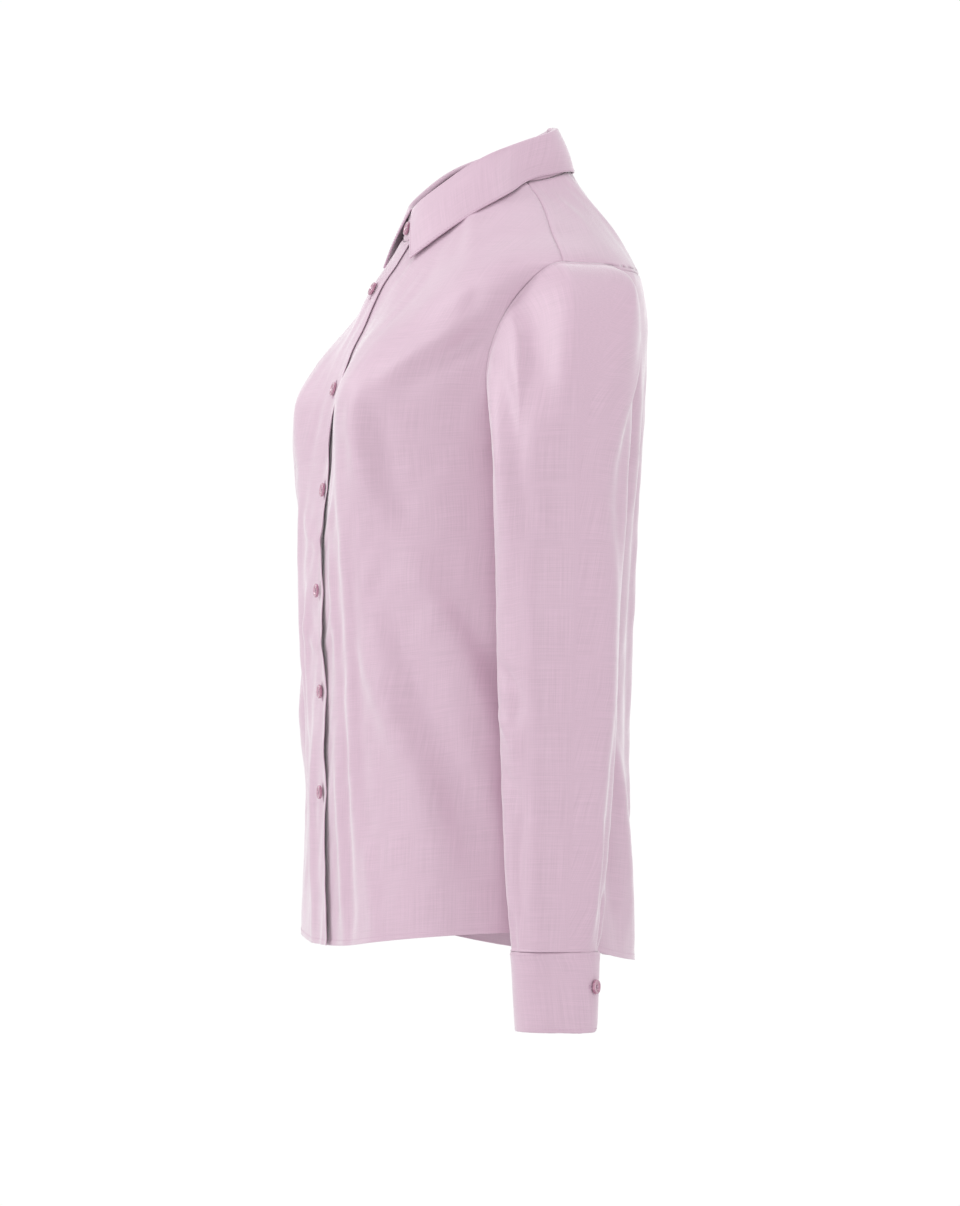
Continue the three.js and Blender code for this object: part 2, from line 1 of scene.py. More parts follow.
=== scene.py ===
"""A long sleeve dress shirt, filled out as if worn, in lilac cotton with rose buttons.

The cloth pieces are thin shells on the form of the frame's solids, worked out from the same rings and
tables at a finer step. Sizes are millimetres until a mesh is made. The front faces -Y, the wearer's left
side is +X and +Z is up.
"""

import math

import bpy
import numpy as np
from mathutils import Matrix, Vector


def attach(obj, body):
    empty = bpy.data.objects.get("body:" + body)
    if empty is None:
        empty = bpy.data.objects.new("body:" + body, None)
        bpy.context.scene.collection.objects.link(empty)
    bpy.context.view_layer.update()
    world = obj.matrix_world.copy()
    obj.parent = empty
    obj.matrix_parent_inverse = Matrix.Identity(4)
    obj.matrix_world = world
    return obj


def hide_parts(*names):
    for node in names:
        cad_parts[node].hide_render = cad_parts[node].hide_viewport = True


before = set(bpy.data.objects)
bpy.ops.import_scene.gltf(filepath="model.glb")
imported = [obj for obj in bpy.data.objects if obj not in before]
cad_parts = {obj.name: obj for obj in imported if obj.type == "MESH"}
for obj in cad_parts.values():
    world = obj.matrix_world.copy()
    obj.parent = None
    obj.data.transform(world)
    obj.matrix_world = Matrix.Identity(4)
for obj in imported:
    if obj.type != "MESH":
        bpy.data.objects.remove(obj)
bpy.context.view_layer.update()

MM = 0.001
FULL_TURN = 2 * math.pi
RIGHT_ANGLE = math.pi / 2

# Camera: level, 15 degrees forward of the wearer's left side, its height and shift read from the photograph
PHOTO = {"width": 960, "height": 1206, "axis_x": 466, "axis_y": 788.5, "metres_per_pixel": 0.00083}
CAMERA = {"azimuth": 75, "distance": 4.5, "height": -0.5, "sensor": 36}
FLOOR_Z = -1.42
FLOOR_RADIUS = 6
FLOOR_SIDES = 96
SKY = {"level": 1.02, "above": 0.72, "fade_from": 0.12, "fade_to": 0.5}
LIGHT_AIM = (0, 0, -0.3)
LIGHTS = {  # place, width and power
    "key": ((-1.6, -3.2, 1.6), 1.5, 52),
    "side": ((3.7, -1.0, 0.4), 1.5, 18),
    "top": ((0.2, 0.3, 2.8), 1.6, 18),
    "rim": ((2.2, 2.8, 0.9), 1.5, 8),
}

# Cloth, as thick as it looks
CLOTH = 0.7
STAND_CLOTH = 1.7
COLLAR_CLOTH = 1.5
CUFF_CLOTH = 2.0
CAD_CLOTH = {"body": 1.2, "stand": 1.8, "cuff": 2.2}
SEAM = 0.3
FOLD_DEPTH = 2.2
HEM_DEPTH = 4.0
HEM_PROUD = 0.3
HEM_STEP = {"below": 0.5, "above": 0.7}  # where the turned hem's inner edge falls away
ROUNDING = 0.96  # of a free edge, as a share of a half circle
DITCH = {"depth": 0.95, "width": 0.8, "roll": 0.2, "roll_at": 4.0, "roll_width": 2.4}
PUCKER = {"depth": 0.1, "at": 3.5, "width": 5, "pitch": 2.1, "sway": 1.7, "sway_pitch": 13, "swell_pitch": 29}
THREAD_SIDES = 5
STITCH = {
    "length": 2.1,
    "pitch": 2.9,
    "radius": 0.19,
    "proud": 0.12,
    "along": (0, 0.22, 0.5, 0.78, 1),
    "rise": (-2.2, 0.7, 1, 0.7, -2.2),
}
# Where the stitch lines run: angles clear of the side seams and cuff ends, and mm inside the edges
SEWN = {
    "side_gap": 0.01,
    "hem": 0.2,
    "cuff_bottom": 2.6,
    "cuff_top": 2.2,
    "cuff_start": 0.7,
    "cuff_end": 0.06,
}
LINE_POINTS = 160
CUFF_LINE_POINTS = 200
BUTTONHOLE = {"length": 14, "slit": 0.22, "bar": 1.05, "pitch": 0.42, "radius": 0.17, "proud": 0.1}
STEP = 3.0  # between points of a shell
EDGE_STEPS = (0, 0.35, 0.8, 1.5, 2.6, 4.2)  # points close to an edge
FINE_STEP = 2.2  # on cuffs and collar
ROW_SAMPLES = 241
DISTANCE_STEP = 0.8
DISTANCE_BLOCK = 2000
HALVINGS = 40

# Front closing
LAP = 15
LAP_LIFT = CAD_CLOTH["body"] + 0.7
LAP_START = -58
GAPE = 2.4
GAPE_STARTS = {"none": 0.6, "full": 1.4}  # in button spaces below the first button
BUTTON_PITCH = 83
FIRST_BUTTON_Z = -88
FRONT_BUTTONS = 6


def table(columns, rows):
    """A table of named columns, each an array."""
    names = columns.split()
    return {name: np.array([row[i] for row in rows], float) for i, name in enumerate(names)}


# Rings of the body from hem to neck, with heights at the side, the centre front and the centre back
BODY_RINGS = table(
    "side_z front_z back_z half_width front back side_y front_square back_square front_drop",
    [
        (-614, -629, -640.5, 208, 118, 114.5, 0, 3.1, 2.5, 3),
        (-503, -503, -508, 200, 120.5, 116, 0, 2.5, 2.5, 0),
        (-420, -420, -422, 194, 120, 119, 0, 2.4, 2.5, 0),
        (-337, -337, -337, 187, 121, 125.5, 3, 2.3, 2.5, 0),
        (-282, -282, -282, 181, 116, 130, 7, 2.4, 2.5, 0),
        (-230, -232, -230, 177, 107.5, 134, 12, 2.7, 2.5, 0),
        (-156, -171, -158, 178, 99.5, 137, 19, 2.9, 2.6, 2),
        (-118, -132, -112, 186, 92, 136.5, 23, 2.5, 2.5, 5),
        (-82, -88, -72, 198, 76.5, 128, 27, 1.9, 2.4, 14),
        (-50, -68, -34, 143, 63.5, 115, 29, 1.9, 2.2, 12),
        (-20, -56, -4, 90, 55.5, 98, 26, 2.0, 2.1, 7),
        (-3, -47, 15, 63, 49.5, 86.5, 19, 2.1, 2.1, 0),
    ],
)
HEM = -614
# The back hem drops quickly from the side seam and rises a touch at its middle
TAIL = {"fades": -440, "full": -520, "steep": 3, "middle": 0.1}
UNDERARM = -230
SHOULDER = -82
NECK = -3
NECK_SEAM_ANGLE = 1.82
ARMHOLE = {"front": 45, "back": 69, "front_top": 1.9, "back_top": 6, "bottom": 2.0, "steps": 12}

# Bust fullness on a general figure
BUST_X = 88
BUST_ACROSS = 46
BUST = table(
    "z rise",
    [(-600, 0), (-503, 2), (-420, 3.5), (-337, 9), (-282, 17), (-240, 26)]
    + [(-200, 32.5), (-172, 32), (-145, 20), (-118, 6), (-95, 1), (-80, 0)],
)

# The body's main folds, in degrees round from the centre front
BODY_FOLDS = table(
    "from_angle from_z to_angle to_z width height",
    [
        (38, -235, 66, -600, 15, 4.5),
        (52, -270, 84, -560, 13, 3.5),
        (30, -330, 44, -625, 12, 2.5),
        (-36, -240, -60, -600, 15, 4.0),
        (-54, -290, -82, -590, 12, 3.0),
        (150, -200, 140, -640, 16, 4.5),
        (-150, -210, -142, -640, 16, 4.5),
        (118, -430, 132, -640, 14, 4.0),
        (-120, -400, -128, -640, 14, 3.5),
        (176, -300, 182, -640, 14, 2.5),
    ],
)

# A crease tapers to both ends along its way, widens, and has a shallow trough on both sides
CREASE = {
    "starts": -0.15,
    "full_from": 0.3,
    "full_to": 0.62,
    "ends": 1.12,
    "narrow": 0.8,
    "widens": 0.4,
    "trough": 0.35,
}

# Soft unevenness of the cloth: height, seed and size of its bumps
UNEVEN = {
    "body_broad": (0.45, 4, 70),
    "body_fine": (0.12, 9, 22),
    "sleeve_broad": (0.4, 21, 80),
    "sleeve_fine": (0.12, 5, 24),
    "cuff": (0.25, 31, 60),
}
UNEVEN_WAVES = 9
UNEVEN_DRAWN_OUT = 0.45  # the body's broad bumps are longer downwards


def both_sides(rows):
    """Each crease of the left side, followed by the same one on the right."""
    creases = []
    for from_angle, from_z, to_angle, to_z, bow, width, height in rows:
        creases.append((from_angle, from_z, to_angle, to_z, bow, width, height))
        creases.append((-from_angle, from_z, -to_angle, to_z, -bow, width, height))
    return creases


# Smaller creases of the body: ridges, or troughs where the height is less than nought. The bow is sideways.
BODY_CREASES = table(
    "from_angle from_z to_angle to_z bow width height",
    [
        # Left front: the drag from the armhole to the bust, and the turn of the cloth under it
        (76, -104, 50, -168, 5, 9, 2.6),
        (76, -132, 52, -188, -4, 8, -2.0),
        (42, -182, 54, -290, -7, 10, 3.0),
        (50, -196, 60, -300, -7, 9, -2.4),
        (78, -100, 74, -215, 5, 8, 2.2),
        (70, -98, 66, -160, 4, 7, -1.6),
        # Left front: bands that fan out from the buttons to the side hem
        (31, -250, 38, -520, 5, 11, 2.6),
        (38, -330, 46, -560, -7, 9, -2.6),
        (40, -380, 73, -600, 16, 11, 3.8),
        (49, -345, 80, -585, 17, 12, -4.0),
        (57, -300, 84, -500, 13, 12, 3.0),
        (66, -330, 86, -450, 8, 9, -2.2),
        (69, -430, 83, -575, 7, 9, 2.4),
        (27, -430, 34, -640, 5, 9, -2.0),
        (20, -470, 26, -640, 4, 9, 2.0),
        (44, -540, 50, -640, 3, 8, 1.8),
        (16, -300, 22, -420, 4, 8, 1.4),
        # Right front, much the same
        (-74, -108, -50, -170, -5, 9, 2.4),
        (-75, -134, -53, -186, 4, 8, -1.9),
        (-43, -184, -52, -300, 7, 10, 2.8),
        (-51, -200, -61, -310, 6, 9, -2.2),
        (-30, -260, -37, -500, -6, 11, 2.5),
        (-40, -340, -47, -570, 7, 9, -2.4),
        (-37, -390, -70, -600, -15, 11, 3.6),
        (-47, -355, -78, -590, -16, 12, -3.6),
        (-58, -310, -83, -520, -12, 12, 2.8),
        (-68, -440, -82, -585, -7, 9, 2.2),
        (-17, -330, -25, -470, -5, 9, 1.8),
        (-12, -450, -22, -640, -5, 10, 2.2),
        # Pulls at the buttons
        (4, -300, 24, -262, -3, 6, 1.2),
        (-4, -300, -26, -270, 3, 6, 1.2),
        (4, -385, 22, -352, -3, 6, 1.0),
        (-4, -385, -24, -358, 3, 6, 1.1),
        # Back: long soft drops from the yoke, and the pull beside each arm
        (118, -120, 122, -300, 8, 12, 2.4),
        (-118, -125, -123, -300, -8, 12, 2.2),
        (134, -150, 128, -520, 9, 12, -2.6),
        (-133, -160, -128, -530, -9, 12, -2.5),
        (150, -110, 156, -420, 7, 13, 2.2),
        (-152, -110, -157, -430, -7, 13, 2.2),
        (166, -120, 170, -640, -6, 12, -2.2),
        (-170, -200, -172, -640, 6, 13, 2.4),
        (178, -160, 176, -500, 5, 11, 1.8),
        (108, -420, 128, -640, 9, 10, 3.0),
        (98, -470, 116, -640, 8, 9, -2.6),
        (94, -540, 106, -640, 4, 8, 2.2),
        (-106, -430, -127, -640, -9, 10, 2.8),
        (-97, -480, -115, -640, -8, 9, -2.4),
        (140, -480, 154, -640, 6, 10, 2.2),
        (-142, -500, -155, -640, -6, 10, 2.2),
    ]
    # Yoke and shoulder: faint drags from the neck to the sleeve
    + both_sides(
        [
            (112, -16, 104, -66, 3, 7, 0.9),
            (140, -22, 128, -70, 3, 8, 0.9),
            (58, -20, 66, -80, 4, 8, 1.4),
        ]
    ),
)

# Sleeve and cuff rings
SLEEVE_RINGS = table(
    "z x y half_x half_y",
    [
        (-258, 231.5, 14, 49.5, 51.5),
        (-367, 239, 11.5, 46, 48),
        (-497, 246.5, 8.5, 42, 42.8),
        (-583, 250, 5.4, 38.5, 37.5),
        (-627.5, 251.5, 3.8, 35.5, 33.4),
    ],
)
CUFF_RINGS = table(
    "z x y half_x half_y",
    [(-628.1, 251.5, 3.8, 36.5, 34.2), (-690.5, 253, 4.5, 36, 30.8)],
)
CUFF_RADIUS = 35
CUFF_COLUMNS = 118
CUFF_TOP_RISE = 0.3
CUFF_LAP_RAMP = {"from": 0.7, "to": 0.05}  # turns before the inner end
CUFF_LAP_GAP = SEAM + 0.1
CUFF_LAP = {"from": 24, "to": 64, "button": 45}
CUFF_BUTTON_Z = -655
CUFF_CORNER = 9
ARM_PIVOT = {"y": 14, "z": -150}
ARM_SWING = {"left": 0, "right": 16.3}
SLEEVE_FOLD = table(
    "share front back",
    [(0, 38, 38), (0.1, 42, 52), (0.3, 62, 70), (0.6, 95, 92), (0.85, 130, 128), (1, 150, 150)],
)
CAP_FULLNESS = 0.95
CAP_FIRST_SHARES = (0, 0.004, 0.01, 0.02, 0.034)  # rows close to the armhole seam
CAP_SHARES = {"from": 0.055, "to": 1, "count": 44}
CAP_FLAT = {"to": 0.02, "full": 0.25}  # the creases fade out towards the armhole
UNDERARM_FLAT = {"from": 0.55, "full": 0.95, "share": 0.75, "low": -330, "high": -260}
SLEEVE_STEPS = 64
ARMHOLE_ROWS = 56
ARM_RADIUS = 45
ARM_DEGREE_MM = 0.78

# Creases of a sleeve, by degrees from +X towards the back and by height; those above -258 are on the cap
SLEEVE_CREASES = table(
    "from_turn from_z to_turn to_z bow width height",
    [
        # Down from the front and the back of the cap
        (-84, -150, -52, -330, 9, 9, 2.6),
        (-96, -190, -66, -350, 8, 8, -2.0),
        (88, -150, 58, -330, -9, 10, 2.6),
        (100, -190, 74, -340, -8, 9, -2.0),
        (-34, -150, -30, -300, 4, 9, 1.3),
        (30, -150, 34, -290, -4, 10, 1.4),
        # Long bands down the outside
        (-26, -280, -16, -480, 8, 11, 1.9),
        (-44, -320, -36, -540, 6, 9, -1.6),
        (22, -330, 34, -540, -9, 12, 2.0),
        (44, -300, 50, -470, -6, 10, -1.7),
        (2, -420, -12, -610, 6, 10, 1.6),
        (62, -440, 52, -627, 5, 9, 2.2),
        (40, -520, 30, -628, 4, 7, -1.8),
        (-52, -500, -60, -627, -5, 8, 1.8),
        # Short folds inside the elbow
        (-92, -400, -58, -452, 9, 7, 2.4),
        (-96, -440, -62, -486, 9, 7, -1.8),
        (-90, -486, -66, -520, 7, 7, 1.8),
        # Underarm
        (122, -240, 130, -430, 8, 11, 2.4),
        (150, -380, 140, -610, -8, 12, 2.0),
        (-125, -250, -130, -440, -8, 11, 2.4),
        (-150, -400, -142, -600, 8, 12, 2.0),
        (180, -290, 176, -600, 5, 13, 1.8),
        # Fullness let into the cuff
        (76, -580, 74, -634, 0, 4.5, 1.8),
        (90, -575, 89, -634, 0, 4.5, -1.6),
        (104, -580, 103, -634, 0, 4.5, 1.7),
        (-80, -596, -80, -634, 0, 5, 1.2),
        (-104, -590, -104, -634, 0, 5, 1.2),
    ],
)

# Collar
COLLAR_CENTRE_Y = 28
STAND_TOP = table(
    "angle radius z",
    [
        (0, 72, -27),
        (13, 71, -20),
        (26, 64, -9.5),
        (40, 57.3, 1.5),
        (62, 53.3, 14),
        (93, 50.8, 26),
        (120, 51.5, 34.5),
        (150, 47.5, 42),
        (180, 43.5, 45.5),
    ],
)
STAND_END = LAP - 1
STAND_SHARES = np.concatenate([[0, 0.03, 0.07], np.linspace(0.12, 0.9, 12), [0.95, 0.98, 1]])
STAND_SLANT = 0.45
STAND_COLUMNS = 150
STAND_FOOT = 0.2
STAND_LAP = {"from": 0.75, "to": 0.3}  # turns before the outer end
COLLAR_GAP = 9
FALL_EDGE = table(
    "angle z stand_off",
    [(27, -68, 5), (51, -44, 3.2), (70, -27, 3), (94, -9, 3), (129, 4, 3), (163, 10.5, 2.6), (180, 11, 2.4)],
)
FALL_BOW = 1.6
FALL_LENGTH = 420
FALL_MIDDLE = {"from": 0.014, "to": 0.986, "count": 150}
FALL_SHARES = (0.2, 0.4, 0.6, 0.8, 1.0)
FALL_ROLL_ROWS = 22
FALL_STITCHED = {"inset": 3, "height": 0.7}  # points in from an edge, and how far up the ends
ROLL = ((-1.7, 1.5), (-1.5, 3.7), (0.6, 5.2), (2.9, 4.7), (4.2, 2.6))

# Buttons
BUTTON = {
    "radius": 5.7,
    "thick": 2.4,
    "dish": 0.7,
    "floor": 1.2,
    "foot": 1.6,
    "rim": 1.5,
    "slope": 1.3,
    "under_round": 0.8,
    "rim_round": 0.7,
    "hole": 0.75,
    "hole_from": 1.45,
    "stand": 0.9,
    "cuff_stand": 0.45,
}
BUTTON_FACETS = 48
HOLE_FACETS = 14
THREAD = {
    "radius": 0.14,
    "apart": 0.24,
    "rise": 0.26,
    "second": 0.1,
    "crown": 0.12,
    "sunk": 0.15,
    "bend": 0.75,
}


# Curves and small helpers


class Curve:
    """A smooth curve through points, with the slope at each from its neighbours."""

    def __init__(self, at, values):
        order = np.argsort(at)
        self.at = np.asarray(at, float)[order]
        self.values = np.asarray(values, float)[order]
        gap = np.diff(self.at)
        rise = np.diff(self.values) / gap
        inner = (rise[:-1] * gap[1:] + rise[1:] * gap[:-1]) / (gap[:-1] + gap[1:])
        self.slope = np.concatenate([rise[:1], inner, rise[-1:]])

    def __call__(self, x):
        x = np.asarray(x, float)
        i = np.clip(np.searchsorted(self.at, x) - 1, 0, len(self.at) - 2)
        span = self.at[i + 1] - self.at[i]
        s = (x - self.at[i]) / span
        start = (2 * s**3 - 3 * s**2 + 1) * self.values[i] + (s**3 - 2 * s**2 + s) * span * self.slope[i]
        end = (3 * s**2 - 2 * s**3) * self.values[i + 1] + (s**3 - s**2) * span * self.slope[i + 1]
        return start + end


def curves_of(source, key):
    return {name: Curve(source[key], values) for name, values in source.items() if name != key}


def smooth(low, high, x):
    t = np.clip((x - low) / (high - low), 0, 1)
    return t * t * (3 - 2 * t)


def bell(distance, width):
    return np.exp(-((distance / width) ** 2) / 2)


def unit(vectors):
    return vectors / np.maximum(np.linalg.norm(vectors, axis=-1, keepdims=True), 1e-9)


def outward(angle):
    """The level direction away from the middle at an angle round from the centre front."""
    return np.stack([np.sin(angle), -np.cos(angle), np.zeros_like(angle)], -1)


def rows_of(source):
    """A table's rows, one dictionary each."""
    count = len(next(iter(source.values())))
    return [{name: values[i] for name, values in source.items()} for i in range(count)]


def crease_lift(creases, across, height, first, last, across_scale):
    """How far a table of creases lifts the cloth, at places given by mm across and by height."""
    lift = np.zeros(np.broadcast(across, height).shape)
    for crease in rows_of(creases):
        start = np.array([crease[first] * across_scale, crease["from_z"]])
        run = np.array([crease[last] * across_scale, crease["to_z"]]) - start
        length = np.hypot(*run)
        along = ((across - start[0]) * run[0] + (height - start[1]) * run[1]) / length**2
        aside = ((height - start[1]) * run[0] - (across - start[0]) * run[1]) / length
        aside = aside - crease["bow"] * np.sin(math.pi * np.clip(along, 0, 1))
        fade_in = smooth(CREASE["starts"], CREASE["full_from"], along)
        fade_out = 1 - smooth(CREASE["full_to"], CREASE["ends"], along)
        width = crease["width"] * (CREASE["narrow"] + CREASE["widens"] * np.clip(along, 0, 1))
        form = bell(aside, width) - CREASE["trough"] * bell(aside, 2 * width)
        lift += crease["height"] * (fade_in * fade_out) * form
    return lift


def uneven(kind, across, height):
    """A soft uneven field with bumps of a height and size in mm."""
    rise, seed, size = UNEVEN[kind]
    chance = np.random.default_rng(seed)
    field = np.zeros(np.broadcast(across, height).shape)
    for _ in range(UNEVEN_WAVES):
        way = chance.uniform(0, math.pi)
        length = size * chance.uniform(0.7, 1.8)
        phase = chance.uniform(0, FULL_TURN)
        field += np.sin((across * math.cos(way) + height * math.sin(way)) * FULL_TURN / length + phase)
    return rise * (field / UNEVEN_WAVES**0.5)


# The body's surface

BODY = curves_of(BODY_RINGS, "side_z")
BUST_CURVE = Curve(BUST["z"], BUST["rise"])
DEGREE_MM = 2.9  # round the body


def ring_point(angle, level):
    angle, level = np.broadcast_arrays(np.asarray(angle, float), np.asarray(level, float))
    ring = {name: curve(level) for name, curve in BODY.items()}
    ahead = np.cos(angle)
    aside = np.sin(angle)
    reach = np.where(ahead > 0, ring["front"] + ring["side_y"], ring["back"] - ring["side_y"])
    square = ring["back_square"] + (ring["front_square"] - ring["back_square"]) * (ahead + 1) / 2
    total = np.abs(ahead / reach) ** square + np.abs(aside / ring["half_width"]) ** square
    radius = total ** (-1 / square)
    end_z = np.where(ahead > 0, ring["front_z"], ring["back_z"])
    drop = np.where(ahead > 0, ring["front_drop"] * np.sin(2 * angle) ** 2, 0)
    even = ahead**2
    tail = 1 - (1 - np.abs(ahead)) ** TAIL["steep"] - TAIL["middle"] * even**3
    upper = smooth(TAIL["full"], TAIL["fades"], level)
    share = np.where(ahead > 0, even, tail + (even - tail) * upper)
    z = level + (end_z - level) * share - drop
    return np.stack([radius * aside, ring["side_y"] - radius * ahead, z], -1)


def bust_rise(x, z):
    inside = (z > BUST["z"][0]) & (z < BUST["z"][-1])
    across = bell(x - BUST_X, BUST_ACROSS) + bell(x + BUST_X, BUST_ACROSS)
    return np.where(inside, BUST_CURVE(z) * across, 0)


def folded_degrees(angle):
    """Degrees from the centre front, minus on the wearer's right."""
    return np.degrees(np.arctan2(np.sin(angle), np.cos(angle)))


def fold_rise(angle, z):
    degrees = folded_degrees(angle)
    rise = np.zeros_like(z)
    for fold in rows_of(BODY_FOLDS):
        along = (z - fold["from_z"]) / (fold["to_z"] - fold["from_z"])
        centre = fold["from_angle"] + (fold["to_angle"] - fold["from_angle"]) * along
        apart = (degrees - centre + 540) % 360 - 180
        spread = fold["width"] * (0.55 + 0.45 * along) * 0.5
        rise += fold["height"] * smooth(-0.05, 0.45, along) * bell(apart, spread)
    return rise


def body_point(angle, level, lift=0.0, creased=False):
    """A point of the body at an angle round from the centre front and the level of its ring."""
    angle, level = np.broadcast_arrays(np.asarray(angle, float), np.asarray(level, float))
    point = ring_point(angle, level)
    ahead = np.cos(angle)
    point[..., 1] -= bust_rise(point[..., 0], point[..., 2]) * np.sqrt(np.maximum(ahead, 0))
    out = fold_rise(angle, point[..., 2]) * (1 - smooth(UNDERARM - 60, UNDERARM + 60, level)) + lift
    if creased:
        across = folded_degrees(angle) * DEGREE_MM
        height = point[..., 2]
        small = crease_lift(BODY_CREASES, across, height, "from_angle", "to_angle", DEGREE_MM)
        small = small + uneven("body_broad", across, height * UNEVEN_DRAWN_OUT)
        small = small + uneven("body_fine", across, height)
        out = out + FOLD_DEPTH * small
    return point + outward(angle) * np.asarray(out)[..., None]


def body_cloth(angle, level):
    """The body's creased surface."""
    return body_point(angle, level, 0, True)


def normal_of(surface, a, b, step_a=0.01, step_b=1.0):
    along_a = surface(a + step_a, b) - surface(a - step_a, b)
    along_b = surface(a, b + step_b) - surface(a, b - step_b)
    return unit(np.cross(along_a, along_b))


def level_where(height_at, z):
    """The level between hem and neck at which a rising height reaches z."""
    low = np.full(np.shape(z), float(HEM))
    high = np.full(np.shape(z), float(NECK))
    for _ in range(HALVINGS):
        middle = (low + high) / 2
        below = height_at(middle) < z
        low = np.where(below, middle, low)
        high = np.where(below, high, middle)
    return (low + high) / 2


# Meshes


def shell(name, outer, thickness, free="", seams="", wrap=False, across=None, hem=0.0):
    """A closed thin shell from a grid of outer points, rows going up and columns to the right from outside.

    free and seams name its edges, out of bottom, top, left and right: free ones are rounded, seams dip into
    a ditch. hem is the depth of the turned hem along its bottom, which stands a little proud.
    """
    if wrap:
        side = np.roll(outer, -1, axis=1) - np.roll(outer, 1, axis=1)
    else:
        side = np.gradient(outer, axis=1)
    up = np.gradient(outer, axis=0)
    normal = unit(np.cross(side, up))
    edges = {"bottom": outer[0], "top": outer[-1], "left": outer[:, 0], "right": outer[:, -1]}
    rounding = np.zeros(outer.shape[:2])
    dip = np.zeros(outer.shape[:2])
    half = thickness / 2
    for edge in free.split():
        near, _ = distance_to(outer, edges[edge])
        short = np.clip(1 - near / half, 0, 1)
        rounding = np.maximum(rounding, half * (1 - np.sqrt(1 - short**2)) * ROUNDING)
    if hem:
        near, _ = distance_to(outer, edges["bottom"])
        dip -= HEM_PROUD * (1 - smooth(hem - HEM_STEP["below"], hem + HEM_STEP["above"], near))
    for edge in seams.split():
        near, along = distance_to(outer, edges[edge])
        roll = DITCH["roll"] * bell(near - DITCH["roll_at"], DITCH["roll_width"])
        dip += DITCH["depth"] * np.exp(-((near / DITCH["width"]) ** 2)) - roll
        sway = PUCKER["sway"] * np.sin(along / PUCKER["sway_pitch"])
        swell = 0.6 + 0.4 * np.sin(along / PUCKER["swell_pitch"])
        pucker = np.sin(along / PUCKER["pitch"] + sway) * swell
        dip += PUCKER["depth"] * pucker * np.exp(-(((near - PUCKER["at"]) / PUCKER["width"]) ** 2))
    shown = outer - normal * (rounding + dip)[..., None]
    hidden = outer - normal * (thickness - rounding + dip)[..., None]
    return mesh_of_walls(name, shown, hidden, wrap, across)


def distance_to(points, line):
    """The distance of each point from a line, and how far along the line the nearest place is."""
    steps = np.linalg.norm(np.diff(line, axis=0), axis=1)
    along = np.concatenate([[0], np.cumsum(steps)])
    count = max(int(along[-1] / DISTANCE_STEP), 2)
    at = np.linspace(0, along[-1], count)
    fine = np.stack([np.interp(at, along, line[:, i]) for i in range(3)], -1).astype(np.float32)
    flat = points.reshape(-1, 3).astype(np.float32)
    near = np.empty(len(flat))
    place = np.empty(len(flat))
    for start in range(0, len(flat), DISTANCE_BLOCK):
        end = start + DISTANCE_BLOCK
        block = flat[start:end]
        apart = ((block[:, None, :] - fine[None]) ** 2).sum(-1)
        nearest = apart.argmin(1)
        near[start:end] = np.sqrt(apart[np.arange(len(block)), nearest])
        place[start:end] = at[nearest]
    return near.reshape(points.shape[:2]), place.reshape(points.shape[:2])


def linked(name, data):
    """An object of the scene that holds a mesh, a light or a camera."""
    made = bpy.data.objects.new(name, data)
    bpy.context.scene.collection.objects.link(made)
    return made


def mesh_of_walls(name, shown, hidden, wrap, across):
    """An object whose mesh joins two grids of points round their edges, with a UV map in metres of cloth."""
    rows, columns = shown.shape[:2]
    index = np.arange(rows * columns).reshape(rows, columns)
    if wrap:
        index = np.concatenate([index, index[:, :1]], axis=1)
    a, b, c, d = index[:-1, :-1], index[:-1, 1:], index[1:, 1:], index[1:, :-1]
    under = rows * columns
    faces = [np.stack([a, b, c, d], -1).reshape(-1, 4), np.stack([a, d, c, b], -1).reshape(-1, 4) + under]
    rims = [index[0], index[-1][::-1]]
    if not wrap:
        rims += [index[::-1, 0], index[:, -1]]
    for rim in rims:
        faces.append(np.stack([rim[:-1], rim[:-1] + under, rim[1:] + under, rim[1:]], -1))
    faces = np.concatenate(faces)
    points = np.concatenate([shown.reshape(-1, 3), hidden.reshape(-1, 3)]) * MM
    mesh = bpy.data.meshes.new(name)
    mesh.from_pydata(points.tolist(), [], faces.tolist())
    if across is None:
        steps = np.linalg.norm(np.diff(shown, axis=1), axis=-1)
        across = np.concatenate([np.zeros((rows, 1)), np.cumsum(steps, axis=1)], axis=1)
    steps = np.linalg.norm(np.diff(shown, axis=0), axis=-1)
    along = np.concatenate([np.zeros((1, columns)), np.cumsum(steps, axis=0)], axis=0)
    uv = np.stack([across, along], -1).reshape(-1, 2) * MM
    uv = np.concatenate([uv, uv])
    layer = mesh.uv_layers.new(name="cloth")
    loops = np.empty(len(mesh.loops), int)
    mesh.loops.foreach_get("vertex_index", loops)
    layer.data.foreach_set("uv", uv[loops].ravel())
    mesh.polygons.foreach_set("use_smooth", np.ones(len(mesh.polygons), bool))
    mesh.update()
    return linked(name, mesh)


def even_rows(surface, starts, ends, levels):
    """For each level, the angles of columns evenly spaced along the cloth, with more close to both edges."""
    share = np.linspace(0, 1, ROW_SAMPLES)
    angles = starts[:, None] + (ends - starts)[:, None] * share
    points = surface(angles, levels[:, None])
    lengths = np.linalg.norm(np.diff(points, axis=1), axis=-1)
    along = np.concatenate([np.zeros((len(levels), 1)), np.cumsum(lengths, axis=1)], axis=1)
    near = np.array(EDGE_STEPS)
    inner = int((along[:, -1].max() - 2 * near[-1]) / STEP)
    rows = []
    wanted = []
    for r in range(len(levels)):
        width = along[r, -1]
        middle = np.linspace(near[-1], width - near[-1], inner + 1)[1:-1]
        places = np.concatenate([near, middle, (width - near)[::-1]])
        rows.append(np.interp(places, along[r], angles[r]))
        wanted.append(places)
    return np.array(rows), np.array(wanted)


